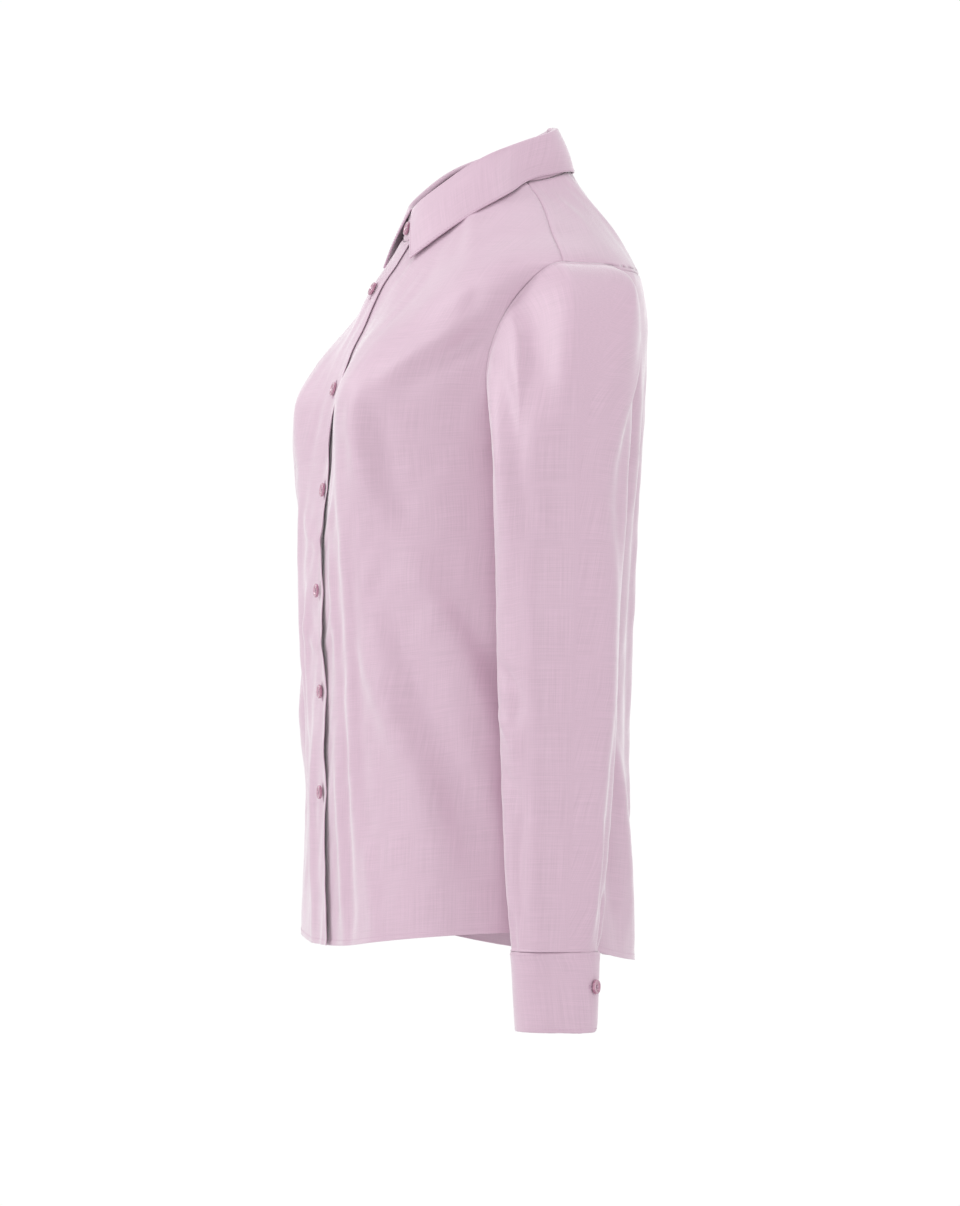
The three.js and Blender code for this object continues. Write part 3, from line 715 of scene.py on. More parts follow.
def spread(start, end, step, near_start=False, near_end=False):
    """Numbers from start to end about a step apart, with more close to either end."""
    sign = 1 if end > start else -1
    near = np.array(EDGE_STEPS) * sign
    low = near + start if near_start else np.array([start], float)
    high = (end - near)[::-1] if near_end else np.array([end], float)
    count = max(int(abs(high[0] - low[-1]) / step), 1)
    return np.concatenate([low[:-1], np.linspace(low[-1], high[0], count + 1), high[1:]])


# Body panels


def armhole_angle(level, side):
    half = (SHOULDER - UNDERARM) / 2
    height = np.clip((level - (UNDERARM + SHOULDER) / 2) / half, -1, 1)
    square = np.where(height < 0, ARMHOLE["bottom"], ARMHOLE[side + "_top"])
    width = ARMHOLE[side] * (1 - np.abs(height) ** square) ** (1 / square)
    turn = np.arctan(width / BODY["half_width"](level))
    return RIGHT_ANGLE - turn if side == "front" else RIGHT_ANGLE + turn


def side_angle(level, side):
    """Where a front or the back ends at its side: side seam, armhole, then shoulder seam."""
    share = np.clip((level - SHOULDER) / (NECK - SHOULDER), 0, 1)
    shoulder_seam = RIGHT_ANGLE + (NECK_SEAM_ANGLE - RIGHT_ANGLE) * share**2.6
    below = np.where(level < UNDERARM, RIGHT_ANGLE, armhole_angle(level, side))
    return np.where(level > SHOULDER, shoulder_seam, below)


def armhole_levels(steps):
    """Levels of the armhole from its top down, closer together at its ends."""
    turn = np.linspace(0, math.pi, steps + 1)
    return UNDERARM + (SHOULDER - UNDERARM) * (np.cos(turn) + 1) / 2


YOKE_SEAM = armhole_levels(ARMHOLE["steps"])[1]


def lap_lift(angle, level):
    """The upper front's edge stands off between its buttons and is held close at each of them."""
    point = ring_point(angle, level)
    span = (FIRST_BUTTON_Z - point[..., 2]) / BUTTON_PITCH
    between = np.abs(np.sin(math.pi * np.minimum(span, FRONT_BUTTONS - 0.5)))
    starts = smooth(GAPE_STARTS["none"], GAPE_STARTS["full"], span)
    opening = starts * GAPE * between * smooth(0, LAP, point[..., 0])
    return LAP_LIFT * smooth(LAP_START, -LAP, point[..., 0]) + opening


def lap_angle(level):
    return np.arctan(LAP / (BODY["front"](level) + BODY["side_y"](level)))


def lapped_cloth(angle, level):
    """The upper front's creased surface."""
    return body_point(angle, level, lap_lift(angle, level), True)


def panel(name, surface, starts, ends, levels, free, seams, hem=0.0):
    """A shell cut from a surface of the body between two angles at each level."""
    angles, places = even_rows(surface, starts, ends, levels)
    return shell(name, surface(angles, levels[:, None]), CLOTH, free, seams, across=places, hem=hem)


def make_body():
    """The two fronts, the back and the yoke."""
    lower = spread(HEM, UNDERARM, STEP, near_start=True)
    armhole = armhole_levels(ARMHOLE_ROWS)[::-1]
    shoulder = spread(SHOULDER, NECK, STEP, near_end=True)
    levels = np.concatenate([lower, armhole[1:], shoulder[1:]])
    lap, side = lap_angle(levels), side_angle(levels, "front")
    edges = ("left bottom", "right top", HEM_DEPTH)
    left = panel("left_front_cloth", body_cloth, -lap, side, levels, *edges)
    edges = ("right bottom", "left top", HEM_DEPTH)
    right = panel("right_front_cloth", lapped_cloth, -side, lap, levels, *edges)
    armhole_part = armhole[(armhole > UNDERARM) & (armhole < YOKE_SEAM - 4)]
    levels = np.concatenate([lower, armhole_part, YOKE_SEAM - np.array(EDGE_STEPS)[::-1]])
    side = side_angle(levels, "back")
    edges = ("bottom", "left right top", HEM_DEPTH)
    back = panel("back_cloth", body_cloth, side, FULL_TURN - side, levels, *edges)
    seam = YOKE_SEAM + np.array(EDGE_STEPS[:3])
    levels = np.concatenate([seam, armhole[armhole > YOKE_SEAM + 1], shoulder[1:]])
    side = side_angle(levels, "back")
    edges = ("", "bottom left right top")
    yoke = panel("yoke_cloth", body_cloth, side, FULL_TURN - side, levels, *edges)
    return {"left_front": left, "right_front": right, "back": back, "yoke": yoke}


# Sleeves and cuffs

SLEEVE = curves_of(SLEEVE_RINGS, "z")
CUFF = curves_of(CUFF_RINGS, "z")
FOLD = curves_of(SLEEVE_FOLD, "share")
CAP_END = SLEEVE_RINGS["z"][0]
SLEEVE_END = SLEEVE_RINGS["z"][-1]


def swung(points, degrees):
    """Places on the arm when it is swung back from the shoulder by some degrees."""
    turn = math.radians(degrees)
    y = points[..., 1] - ARM_PIVOT["y"]
    z = points[..., 2] - ARM_PIVOT["z"]
    moved = points.copy()
    moved[..., 1] = ARM_PIVOT["y"] + y * math.cos(turn) - z * math.sin(turn)
    moved[..., 2] = ARM_PIVOT["z"] + y * math.sin(turn) + z * math.cos(turn)
    return moved


def arm_point(curves, turn, z, grow=0.0):
    turn, z = np.broadcast_arrays(np.asarray(turn, float), np.asarray(z, float))
    x = curves["x"](z) + (curves["half_x"](z) + grow) * np.cos(turn)
    y = curves["y"](z) + (curves["half_y"](z) + grow) * np.sin(turn)
    return np.stack([x, y, z], -1)


def sleeve_start(steps):
    """Round the armhole: where the sleeve starts, the way it sets off, and its turn round the arm."""
    k = np.arange(2 * steps)
    on_front = k <= steps
    k = np.where(on_front, k, 2 * steps - k)
    levels = armhole_levels(steps)[k]
    angles = np.where(on_front, armhole_angle(levels, "front"), armhole_angle(levels, "back"))
    angles = np.where((k == 0) | (k == steps), RIGHT_ANGLE, angles)
    point = body_cloth(angles, levels)
    normal = normal_of(body_point, angles, levels)
    along = unit(np.roll(point, -1, axis=0) - np.roll(point, 1, axis=0))
    away = unit(np.cross(along, normal))
    inward = point.mean(axis=0) - point
    away = np.where((away * inward).sum(-1, keepdims=True) < 0, -away, away)
    share = k / steps
    fold = np.radians(np.where(on_front, FOLD["front"](share), FOLD["back"](share)))[:, None]
    start = point + (away * np.cos(fold / 2) + normal * np.sin(fold / 2)) * SEAM
    way = away * np.cos(fold) + normal * np.sin(fold)
    turn = np.where(on_front, -1, 1) * math.pi * share
    return start, way, turn


def sleeve_form(side):
    """A sleeve without creases, with each point's way out, its turn round the arm and its height."""
    swing = ARM_SWING[side]
    start, way, turn = sleeve_start(SLEEVE_STEPS)
    end = swung(arm_point(SLEEVE, turn, np.full_like(turn, CAP_END)), swing)
    pull = np.linalg.norm(end - start, axis=-1, keepdims=True) * CAP_FULLNESS / 3
    swing_up = np.array([0, -math.sin(math.radians(swing)), math.cos(math.radians(swing))])
    even = np.linspace(CAP_SHARES["from"], CAP_SHARES["to"], CAP_SHARES["count"])
    shares = np.concatenate([CAP_FIRST_SHARES, even])[:, None, None]
    first, second, third = start, start + way * pull, end + swing_up * pull
    cap = (1 - shares) ** 3 * first + 3 * (1 - shares) ** 2 * shares * second
    cap = cap + 3 * (1 - shares) * shares**2 * third + shares**3 * end
    below = spread(CAP_END, SLEEVE_END, STEP, near_end=True)[1:]
    lower = swung(arm_point(SLEEVE, turn[None, :], below[:, None]), swing)
    grid = np.concatenate([cap, lower])
    round_arm = np.roll(grid, -1, axis=1) - np.roll(grid, 1, axis=1)
    out = unit(np.cross(round_arm, -np.gradient(grid, axis=0)))
    height = -np.cumsum(np.linalg.norm(np.diff(grid, axis=0, prepend=grid[:1]), axis=-1), axis=0)
    height = height - height[-1] + SLEEVE_END
    flat = smooth(CAP_FLAT["to"], CAP_FLAT["full"], np.arange(len(grid)) / len(cap))[:, None]
    return grid, out, np.degrees(np.broadcast_to(turn, height.shape)), height, flat


def make_sleeve(side):
    grid, out, degrees, height, clear = sleeve_form(side)
    lift = np.zeros_like(height)
    for shift in (-360, 0, 360):
        place = (degrees + shift) * ARM_DEGREE_MM
        lift += FOLD_DEPTH * crease_lift(SLEEVE_CREASES, place, height, "from_turn", "to_turn", ARM_DEGREE_MM)
    x = np.cos(np.radians(degrees)) * ARM_RADIUS
    y = np.sin(np.radians(degrees)) * ARM_RADIUS
    lift += uneven("sleeve_broad", x + 0.5 * height, y) + uneven("sleeve_fine", x - height, y + height)
    inside = smooth(UNDERARM_FLAT["from"], UNDERARM_FLAT["full"], -np.cos(np.radians(degrees)))
    below = smooth(UNDERARM_FLAT["low"], UNDERARM_FLAT["high"], height)
    clear = clear * (1 - UNDERARM_FLAT["share"] * inside * (1 - below))
    grid = (grid + out * (lift * clear)[..., None])[::-1]
    if side == "right":
        grid = grid[:, ::-1] * (-1, 1, 1)
    return shell(side + "_sleeve_cloth", grid, CLOTH, "", "top bottom", wrap=True)


def cuff_lap(turn):
    """How far the cuff's outer end is led outward to pass over the inner end."""
    inner_end = math.radians(CUFF_LAP["from"]) + FULL_TURN
    ramp = smooth(inner_end - CUFF_LAP_RAMP["from"], inner_end - CUFF_LAP_RAMP["to"], turn)
    return (CAD_CLOTH["cuff"] + CUFF_LAP_GAP) * ramp


def make_cuff(side):
    bottom, top = CUFF_RINGS["z"][1], CUFF_RINGS["z"][0] + CUFF_TOP_RISE
    heights = spread(bottom, top, FINE_STEP, near_start=True, near_end=True)
    start = math.radians(CUFF_LAP["from"])
    whole = math.radians(CUFF_LAP["to"]) + FULL_TURN
    short = np.clip(CUFF_CORNER - (heights - bottom), 0, CUFF_CORNER)
    cut = (CUFF_CORNER - np.sqrt(CUFF_CORNER**2 - short**2)) / CUFF_RADIUS
    near = np.array(EDGE_STEPS) / CUFF_RADIUS
    turns = []
    for end in whole - cut:
        middle = np.linspace(start + near[-1], end - near[-1], CUFF_COLUMNS)[1:-1]
        turns.append(np.concatenate([start + near, middle, (end - near)[::-1]]))
    turns = np.array(turns)
    grid = arm_point(CUFF, turns, heights[:, None], cuff_lap(turns))
    lift = uneven("cuff", turns * CUFF_RADIUS, heights[:, None])
    grid[..., 0] += lift * np.cos(turns)
    grid[..., 1] += lift * np.sin(turns)
    grid = swung(grid, ARM_SWING[side])
    if side == "right":
        grid = grid[:, ::-1] * (-1, 1, 1)
    return shell(side + "_cuff_cloth", grid, CUFF_CLOTH, "bottom left right", "top")


# Collar

STAND = curves_of(STAND_TOP, "angle")
EDGE = curves_of(FALL_EDGE, "angle")


def stand_top_point(angle):
    folded = np.abs(folded_degrees(angle))
    radius = STAND["radius"](folded)
    return np.stack(
        [radius * np.sin(angle), COLLAR_CENTRE_Y - radius * np.cos(angle), STAND["z"](folded)],
        -1,
    )


def stand_lap(angle):
    ramp = smooth(FULL_TURN - STAND_LAP["from"], FULL_TURN - STAND_LAP["to"], angle)
    return (CAD_CLOTH["stand"] + SEAM) * ramp


def make_stand():
    radius = STAND_TOP["radius"][0]
    near = np.array(EDGE_STEPS) / radius
    rows = []
    for share in STAND_SHARES:
        end = STAND_END / radius * (1 - STAND_SLANT * share**3)
        middle = np.linspace(-end + near[-1], FULL_TURN + end - near[-1], STAND_COLUMNS)[1:-1]
        angle = np.concatenate([-end + near, middle, (FULL_TURN + end - near)[::-1]])
        low = body_point(angle, NECK)
        low[:, 2] += STAND_FOOT
        point = low + (stand_top_point(angle) - low) * share
        rows.append(point + outward(angle) * stand_lap(angle)[:, None])
    return shell("collar_stand_cloth", np.array(rows), STAND_CLOTH, "left right top", "bottom")


def fall_edge_point(angle):
    folded = np.abs(folded_degrees(angle))
    level = level_where(lambda at: body_point(angle, at)[..., 2], EDGE["z"](folded))
    point = body_point(angle, level)
    return point + normal_of(body_point, angle, level) * EDGE["stand_off"](folded)[..., None]


def make_fall():
    """The leaf's shell, and the grid of its outer points with its lower edge first."""
    top_start = COLLAR_GAP / 2 / STAND_TOP["radius"][0]
    edge_start = math.radians(FALL_EDGE["angle"][0])
    near = np.array(EDGE_STEPS) / FALL_LENGTH
    middle = np.linspace(FALL_MIDDLE["from"], FALL_MIDDLE["to"], FALL_MIDDLE["count"])
    shares = np.concatenate([near, middle, 1 - near[::-1]])
    top_angles = top_start + (FULL_TURN - 2 * top_start) * shares
    edge_angles = edge_start + (FULL_TURN - 2 * edge_start) * shares
    low = fall_edge_point(edge_angles)
    way = outward(edge_angles)
    top = stand_top_point(top_angles)
    rows = [top + outward(top_angles) * out + np.array([0, 0, up]) for out, up in ROLL]
    rolled = rows[-1]
    for share in FALL_SHARES:
        bow = FALL_BOW * math.sin(math.pi * share)
        rows.append(rolled + (low - rolled) * share + way * bow)
    rows = np.array(rows)
    at = np.concatenate([[0], np.cumsum(np.linalg.norm(np.diff(rows, axis=0), axis=-1).mean(axis=1))])
    roll_end = at[len(ROLL) - 1]
    roll_part = np.linspace(0, roll_end + 4, FALL_ROLL_ROWS)
    wanted = np.concatenate([roll_part, spread(roll_end + 6, at[-1], FINE_STEP, near_end=True)])
    grid = np.empty((len(wanted), len(shares), 3))
    for column in range(len(shares)):
        for axis in range(3):
            grid[:, column, axis] = Curve(at, rows[:, column, axis])(wanted)
    grid = grid[::-1]
    return shell("collar_fall_cloth", grid, COLLAR_CLOTH, "left right bottom top"), grid


pieces = make_body()
pieces["left_sleeve"] = make_sleeve("left")
pieces["right_sleeve"] = make_sleeve("right")
pieces["left_cuff"] = make_cuff("left")
pieces["right_cuff"] = make_cuff("right")
pieces["collar_stand"] = make_stand()
pieces["collar_fall"], fall_grid = make_fall()
for node, piece in pieces.items():
    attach(piece, "root")
    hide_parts(node)


# Buttons: a dished disc with a rounded rim, four holes and thread through them


def lathe(profile, facets):
    """Points and faces of an outline turned round the Z axis; the outline starts and ends on the axis."""
    points = [(0, 0, profile[0][1])]
    for radius, z in profile[1:-1]:
        for k in range(facets):
            turn = FULL_TURN * k / facets
            points.append((radius * math.cos(turn), radius * math.sin(turn), z))
    points.append((0, 0, profile[-1][1]))
    faces = []
    rings = len(profile) - 2
    last = len(points) - 1
    for k in range(facets):
        after = (k + 1) % facets
        faces.append((0, 1 + after, 1 + k))
        for ring in range(rings - 1):
            low, high = 1 + ring * facets, 1 + (ring + 1) * facets
            faces.append((low + k, low + after, high + after, high + k))
        top = 1 + (rings - 1) * facets
        faces.append((top + k, top + after, last))
    return points, faces


def button_profile():
    """A button's outline, from the middle of its back round the rim to the floor of its dish."""
    radius, thick, dish = BUTTON["radius"], BUTTON["thick"], BUTTON["dish"]
    under, rim = BUTTON["under_round"], BUTTON["rim_round"]
    inner = radius - BUTTON["rim"]
    profile = [(0, 0), (radius - BUTTON["foot"], 0)]
    for turn in np.linspace(0.3, 1.57, 6):
        profile.append((radius - under + under * math.sin(turn), under - under * math.cos(turn)))
    for turn in np.linspace(0.1, 1.9, 9):
        profile.append((radius - rim + rim * math.cos(turn), thick - rim + rim * math.sin(turn)))
    for share in (0.1, 0.3, 0.5, 0.7, 0.9, 1):
        fall = 0.15 + 0.85 * float(smooth(0, 1, share))
        profile.append((inner - BUTTON["slope"] * share, thick - dish * fall))
    return profile + [(BUTTON["floor"], thick - dish), (0, thick - dish)]


def hole_place(k):
    turn = RIGHT_ANGLE * (k + 0.5)
    return BUTTON["hole_from"] * math.cos(turn), BUTTON["hole_from"] * math.sin(turn)


def button_mesh():
    """One button's mesh, made in metres with its back at the origin and its face towards +Z."""
    points, faces = lathe(button_profile(), BUTTON_FACETS)
    mesh = bpy.data.meshes.new("button")
    mesh.from_pydata([(x * MM, y * MM, z * MM) for x, y, z in points], [], faces)
    body = linked("button_body", mesh)
    hole, above = BUTTON["hole"], BUTTON["thick"] + 1
    drill_points = []
    drill_faces = []
    for k in range(4):
        x, y = hole_place(k)
        points, faces = lathe([(0, -1), (hole, -1), (hole, above), (0, above)], HOLE_FACETS)
        shift = len(drill_points)
        drill_points += [((x + px) * MM, (y + py) * MM, pz * MM) for px, py, pz in points]
        drill_faces += [tuple(i + shift for i in face) for face in faces]
    mesh = bpy.data.meshes.new("drill")
    mesh.from_pydata(drill_points, [], drill_faces)
    drill = linked("drill", mesh)
    cut = body.modifiers.new("holes", "BOOLEAN")
    cut.operation = "DIFFERENCE"
    cut.object = drill
    cut.solver = "EXACT"
    bpy.context.view_layer.update()
    done = bpy.data.meshes.new_from_object(body.evaluated_get(bpy.context.evaluated_depsgraph_get()))
    bpy.data.objects.remove(body)
    bpy.data.objects.remove(drill)
    done.polygons.foreach_set("use_smooth", np.ones(len(done.polygons), bool))
    done.set_sharp_from_angle(angle=math.radians(45))
    done.name = "button"
    return done


def tube(points, radius):
    """Points and faces of a closed round tube along a line of points."""
    line = np.asarray(points, float)
    sides = THREAD_SIDES
    way = unit(np.gradient(line, axis=0))
    helper = np.array([0.0, 0.0, 1.0]) if abs(way[0][2]) < 0.9 else np.array([1.0, 0.0, 0.0])
    first = unit(np.cross(way, helper))
    second = np.cross(way, first)
    turn = np.linspace(0, FULL_TURN, sides, endpoint=False)
    ring = first[:, None] * np.cos(turn)[None, :, None] + second[:, None] * np.sin(turn)[None, :, None]
    shape = (line[:, None] + ring * radius).reshape(-1, 3)
    faces = []
    for r in range(len(line) - 1):
        for k in range(sides):
            after = (k + 1) % sides
            faces.append((r * sides + k, r * sides + after, (r + 1) * sides + after, (r + 1) * sides + k))
    faces.append(tuple(range(sides))[::-1])
    faces.append(tuple((len(line) - 1) * sides + k for k in range(sides)))
    return shape, faces


def object_of(name, points, faces):
    mesh = bpy.data.meshes.new(name)
    mesh.from_pydata((np.asarray(points) * MM).tolist(), [], [tuple(int(i) for i in face) for face in faces])
    mesh.polygons.foreach_set("use_smooth", np.ones(len(mesh.polygons), bool))
    return linked(name, mesh)


def joined(parts):
    """Several lists of points and faces as one."""
    points = []
    faces = []
    shift = 0
    for shape, some in parts:
        points.append(np.asarray(shape, float))
        faces += [tuple(i + shift for i in face) for face in some]
        shift += len(shape)
    return np.concatenate(points), faces


def button_thread(shank):
    """Thread crossing between the holes and down to the cloth, in the button's own place."""
    top = BUTTON["thick"] - BUTTON["dish"]
    bend, sunk = THREAD["bend"], top - THREAD["sunk"]
    parts = []
    for k in range(2):
        x, y = hole_place(k)
        turn = RIGHT_ANGLE * (k + 0.5)
        for side in (-1, 0, 1):
            ox, oy = -THREAD["apart"] * side * math.sin(turn), THREAD["apart"] * side * math.cos(turn)
            rise = THREAD["rise"] + THREAD["second"] * k
            line = [
                (x + ox, y + oy, -shank),
                (x + ox, y + oy, sunk),
                (bend * x + ox, bend * y + oy, top + rise),
                (ox, oy, top + rise + THREAD["crown"]),
                (-bend * x + ox, -bend * y + oy, top + rise),
                (-x + ox, -y + oy, sunk),
                (-x + ox, -y + oy, -shank),
            ]
            parts.append(tube(line, THREAD["radius"]))
    return joined(parts)


def place_of(at, facing, turned):
    """The matrix that puts a button's back at a place, facing a way."""
    facing = Vector(facing)
    turn = facing.to_track_quat("Z", "Y").to_matrix().to_4x4()
    return Matrix.Translation(Vector(at) * MM) @ turn @ Matrix.Rotation(turned, 4, "Z")


def upper_front(angle, level):
    return body_point(angle, level, lap_lift(np.asarray(angle), np.asarray(level)))


def front_button_levels():
    heights = FIRST_BUTTON_Z - BUTTON_PITCH * np.arange(FRONT_BUTTONS)
    return level_where(lambda at: BODY["front_z"](at), heights)


def stand_front(angle, share):
    low = body_point(angle, NECK)
    point = low + (stand_top_point(np.asarray(angle, float)) - low) * np.asarray(share)[..., None]
    point[..., 1] -= CAD_CLOTH["stand"] + SEAM
    return point


def cuff_face(turn, z):
    return arm_point(CUFF, turn, z, CAD_CLOTH["cuff"] + CUFF_LAP_GAP)


def button_places():
    """Each button's node with its place on the cloth, the way it faces and how far it stands off."""
    places = []
    for i, level in enumerate(front_button_levels()):
        at = upper_front(0.0, level)
        places.append((f"front_button_{i + 1}", at, normal_of(upper_front, 0.0, level), BUTTON["stand"]))
    facing = normal_of(stand_front, np.float64(0), np.float64(0.5), 0.01, 0.1)
    places.append(("collar_button", stand_front(np.float64(0), np.float64(0.5)), facing, BUTTON["stand"]))
    turn = math.radians(CUFF_LAP["button"])
    for side in ("left", "right"):
        at = cuff_face(turn, CUFF_BUTTON_Z)
        ahead = at + normal_of(cuff_face, turn, CUFF_BUTTON_Z)
        at, ahead = swung(at, ARM_SWING[side]), swung(ahead, ARM_SWING[side])
        mirror = np.array([1 if side == "left" else -1, 1, 1])
        places.append((side + "_cuff_button", at * mirror, (ahead - at) * mirror, BUTTON["cuff_stand"]))
    return places


def make_buttons():
    mesh = button_mesh()
    made = []
    for i, (node, at, facing, stand) in enumerate(button_places()):
        place = place_of(np.asarray(at) + np.asarray(facing) * stand, facing, 0.5 * math.sin(3.1 * i))
        disc = linked(node + "_disc", mesh.copy())
        disc.matrix_world = place
        points, faces = button_thread(stand + 0.3)
        thread = object_of(node + "_thread", points, faces)
        thread.matrix_world = place
        made.append((node, disc, thread))
    return made


# Sewing: lines of stitches and thread-bound buttonholes


def patch(surface, a, b, side=1):
    """Places near a point of a surface, by mm across, mm up and mm proud of it."""
    a, b = float(a), float(b)
    across = np.linalg.norm(surface(a + 0.005, b) - surface(a - 0.005, b)) / 0.01
    up = np.linalg.norm(surface(a, b + 0.005) - surface(a, b - 0.005)) / 0.01
    normal = normal_of(surface, a, b, 0.005, 0.005) * side

    def place(u, v, proud):
        return surface(a + u / across, b + v / up) + normal * proud

    return place


def stitches(line, normals):
    """Short bowed threads laid along a line, each dipping into the cloth at both ends."""
    steps = np.linalg.norm(np.diff(line, axis=0), axis=1)
    along = np.concatenate([[0], np.cumsum(steps)])
    parts = []
    start = STITCH["pitch"] / 2
    while start + STITCH["length"] < along[-1]:
        at = start + STITCH["length"] * np.array(STITCH["along"])
        point = np.stack([np.interp(at, along, line[:, i]) for i in range(3)], -1)
        normal = unit(np.stack([np.interp(at, along, normals[:, i]) for i in range(3)], -1))
        rise = STITCH["proud"] * np.array(STITCH["rise"])
        parts.append(tube(point + normal * rise[:, None], STITCH["radius"]))
        start += STITCH["pitch"]
    return parts


def surface_line(surface, a, b, side=1):
    """Points along a surface with their outward directions."""
    a, b = np.broadcast_arrays(np.asarray(a, float), np.asarray(b, float))
    return surface(a, b), normal_of(surface, a, b, 0.01, 0.5) * side


def buttonhole(place, upright):
    """A slit bound with thread on both sides and at its ends."""
    half = BUTTONHOLE["length"] / 2
    inner, outer = BUTTONHOLE["slit"], BUTTONHOLE["slit"] + BUTTONHOLE["bar"]

    def spot(along, aside, proud):
        return place(aside, along, proud) if upright else place(along, aside, proud)

    parts = []
    for side in (-1, 1):
        for along in np.arange(-half, half + 0.01, BUTTONHOLE["pitch"]):
            aside = (inner, (inner + outer) / 2, outer)
            rise = (BUTTONHOLE["proud"], 2 * BUTTONHOLE["proud"], -BUTTONHOLE["proud"])
            line = [spot(along, side * x, h) for x, h in zip(aside, rise)]
            parts.append(tube(line, BUTTONHOLE["radius"]))
        for k in range(3):
            end = side * (half + 0.3 + 0.3 * k)
            line = [spot(end, x, BUTTONHOLE["proud"]) for x in (-outer, 0, outer)]
            parts.append(tube(line, BUTTONHOLE["radius"]))
    return parts


def sewing():
    """Each cloth piece's stitches and buttonholes, as lists of points and faces by node."""
    level = HEM + HEM_DEPTH - SEWN["hem"]
    gap = SEWN["side_gap"]
    share = np.linspace(0, 1, LINE_POINTS)
    side = RIGHT_ANGLE - gap
    lap = float(lap_angle(HEM)) - gap
    behind = RIGHT_ANGLE + gap + (math.pi - 2 * gap) * share
    runs = {
        "left_front": stitches(*surface_line(body_cloth, -lap + (side + lap) * share, level)),
        "right_front": stitches(*surface_line(lapped_cloth, -side + (side + lap) * share, level)),
        "back": stitches(*surface_line(body_cloth, behind, level)),
    }
    for button_level in front_button_levels():
        runs["right_front"] += buttonhole(patch(lapped_cloth, 0.0, button_level), True)
    runs["collar_stand"] = buttonhole(patch(stand_front, 0.0, 0.5), False)
    first = math.radians(CUFF_LAP["from"]) + SEWN["cuff_start"]
    last = math.radians(CUFF_LAP["to"]) + FULL_TURN - SEWN["cuff_end"]
    turns = np.linspace(first, last, CUFF_LINE_POINTS)
    bottom, top = CUFF_RINGS["z"][1], CUFF_RINGS["z"][0]
    for side in ("left", "right"):
        mirror = np.array([1 if side == "left" else -1, 1, 1])

        def face(turn, z, mirror=mirror, side=side):
            turn, z = np.broadcast_arrays(np.asarray(turn, float), np.asarray(z, float))
            return swung(arm_point(CUFF, turn, z, cuff_lap(turn)), ARM_SWING[side]) * mirror

        way = mirror[0]
        runs[side + "_cuff"] = stitches(*surface_line(face, turns, bottom + SEWN["cuff_bottom"], way))
        runs[side + "_cuff"] += stitches(*surface_line(face, turns, top - SEWN["cuff_top"], way))
        turn = math.radians(CUFF_LAP["button"]) + FULL_TURN
        runs[side + "_cuff"] += buttonhole(patch(face, turn, CUFF_BUTTON_Z, way), False)
    return runs


def fall_stitches(grid):
    """Stitches just inside the leaf's two ends and its lower edge, which is the grid's first row."""
    normal = unit(np.cross(np.gradient(grid, axis=1), np.gradient(grid, axis=0)))
    inset = FALL_STITCHED["inset"]
    far = grid.shape[1] - 1 - inset
    rows = np.arange(inset, int(len(grid) * FALL_STITCHED["height"]))
    path = [(row, inset) for row in rows[::-1]]
    path += [(inset, column) for column in np.arange(inset, far + 1)]
    path += [(row, far) for row in rows]
    line = np.array([grid[row, column] for row, column in path])
    return stitches(line, np.array([normal[row, column] for row, column in path]))


# Materials


def material(name):
    made = bpy.data.materials.new(name)
    made.use_nodes = True
    nodes = made.node_tree.nodes
    nodes.clear()
    output = nodes.new("ShaderNodeOutputMaterial")
    shader = nodes.new("ShaderNodeBsdfPrincipled")
    made.node_tree.links.new(shader.outputs[0], output.inputs[0])
    return made, shader


def linear(*colour):
    """A colour given as the photograph shows it, 0 to 255, as light."""
    light = []
    for value in colour:
        value = value / 255
        light.append(value / 12.92 if value <= 0.04045 else ((value + 0.055) / 1.055) ** 2.4)
    return (*light, 1)


def add(tree, kind, **values):
    node = tree.nodes.new(kind)
    for name, value in values.items():
        setattr(node, name, value)
    return node


def math_node(tree, operation, a, b=None):
    node = add(tree, "ShaderNodeMath", operation=operation)
    for i, value in enumerate((a, b)):
        if value is None:
            continue
        if isinstance(value, (int, float)):
            node.inputs[i].default_value = value
        else:
            tree.links.new(value, node.inputs[i])
    return node.outputs[0]


CLOTH_COLOUR = linear(206, 177, 194)
THREAD_COLOUR = linear(205, 172, 193)
YARN = 0.00042  # metres from one yarn to the next


def noise(tree, vector, scale, detail=2, distortion=0):
    node = add(tree, "ShaderNodeTexNoise")
    node.inputs["Scale"].default_value = scale
    node.inputs["Detail"].default_value = detail
    node.inputs["Distortion"].default_value = distortion
    tree.links.new(vector, node.inputs["Vector"])
    return node.outputs[0]


def streaks(tree, vector, scale):
    """Noise drawn out along the yarns of one direction."""
    mapping = add(tree, "ShaderNodeMapping")
    mapping.inputs["Scale"].default_value = scale
    tree.links.new(vector, mapping.inputs[0])
    return noise(tree, mapping.outputs[0], 1)


def shade(colour, factor):
    return (*(min(channel * factor, 1) for channel in colour[:3]), 1)


def tint_by(tree, value, shader, low, high, start=0.0, end=1.0):
    """Colours the shader from low to high as a value goes from start to end."""
    tint = add(tree, "ShaderNodeValToRGB")
    for element, position, colour in zip(tint.color_ramp.elements, (start, end), (low, high)):
        element.position = position
        element.color = colour
    tree.links.new(value, tint.inputs[0])
    tree.links.new(tint.outputs[0], shader.inputs["Base Color"])


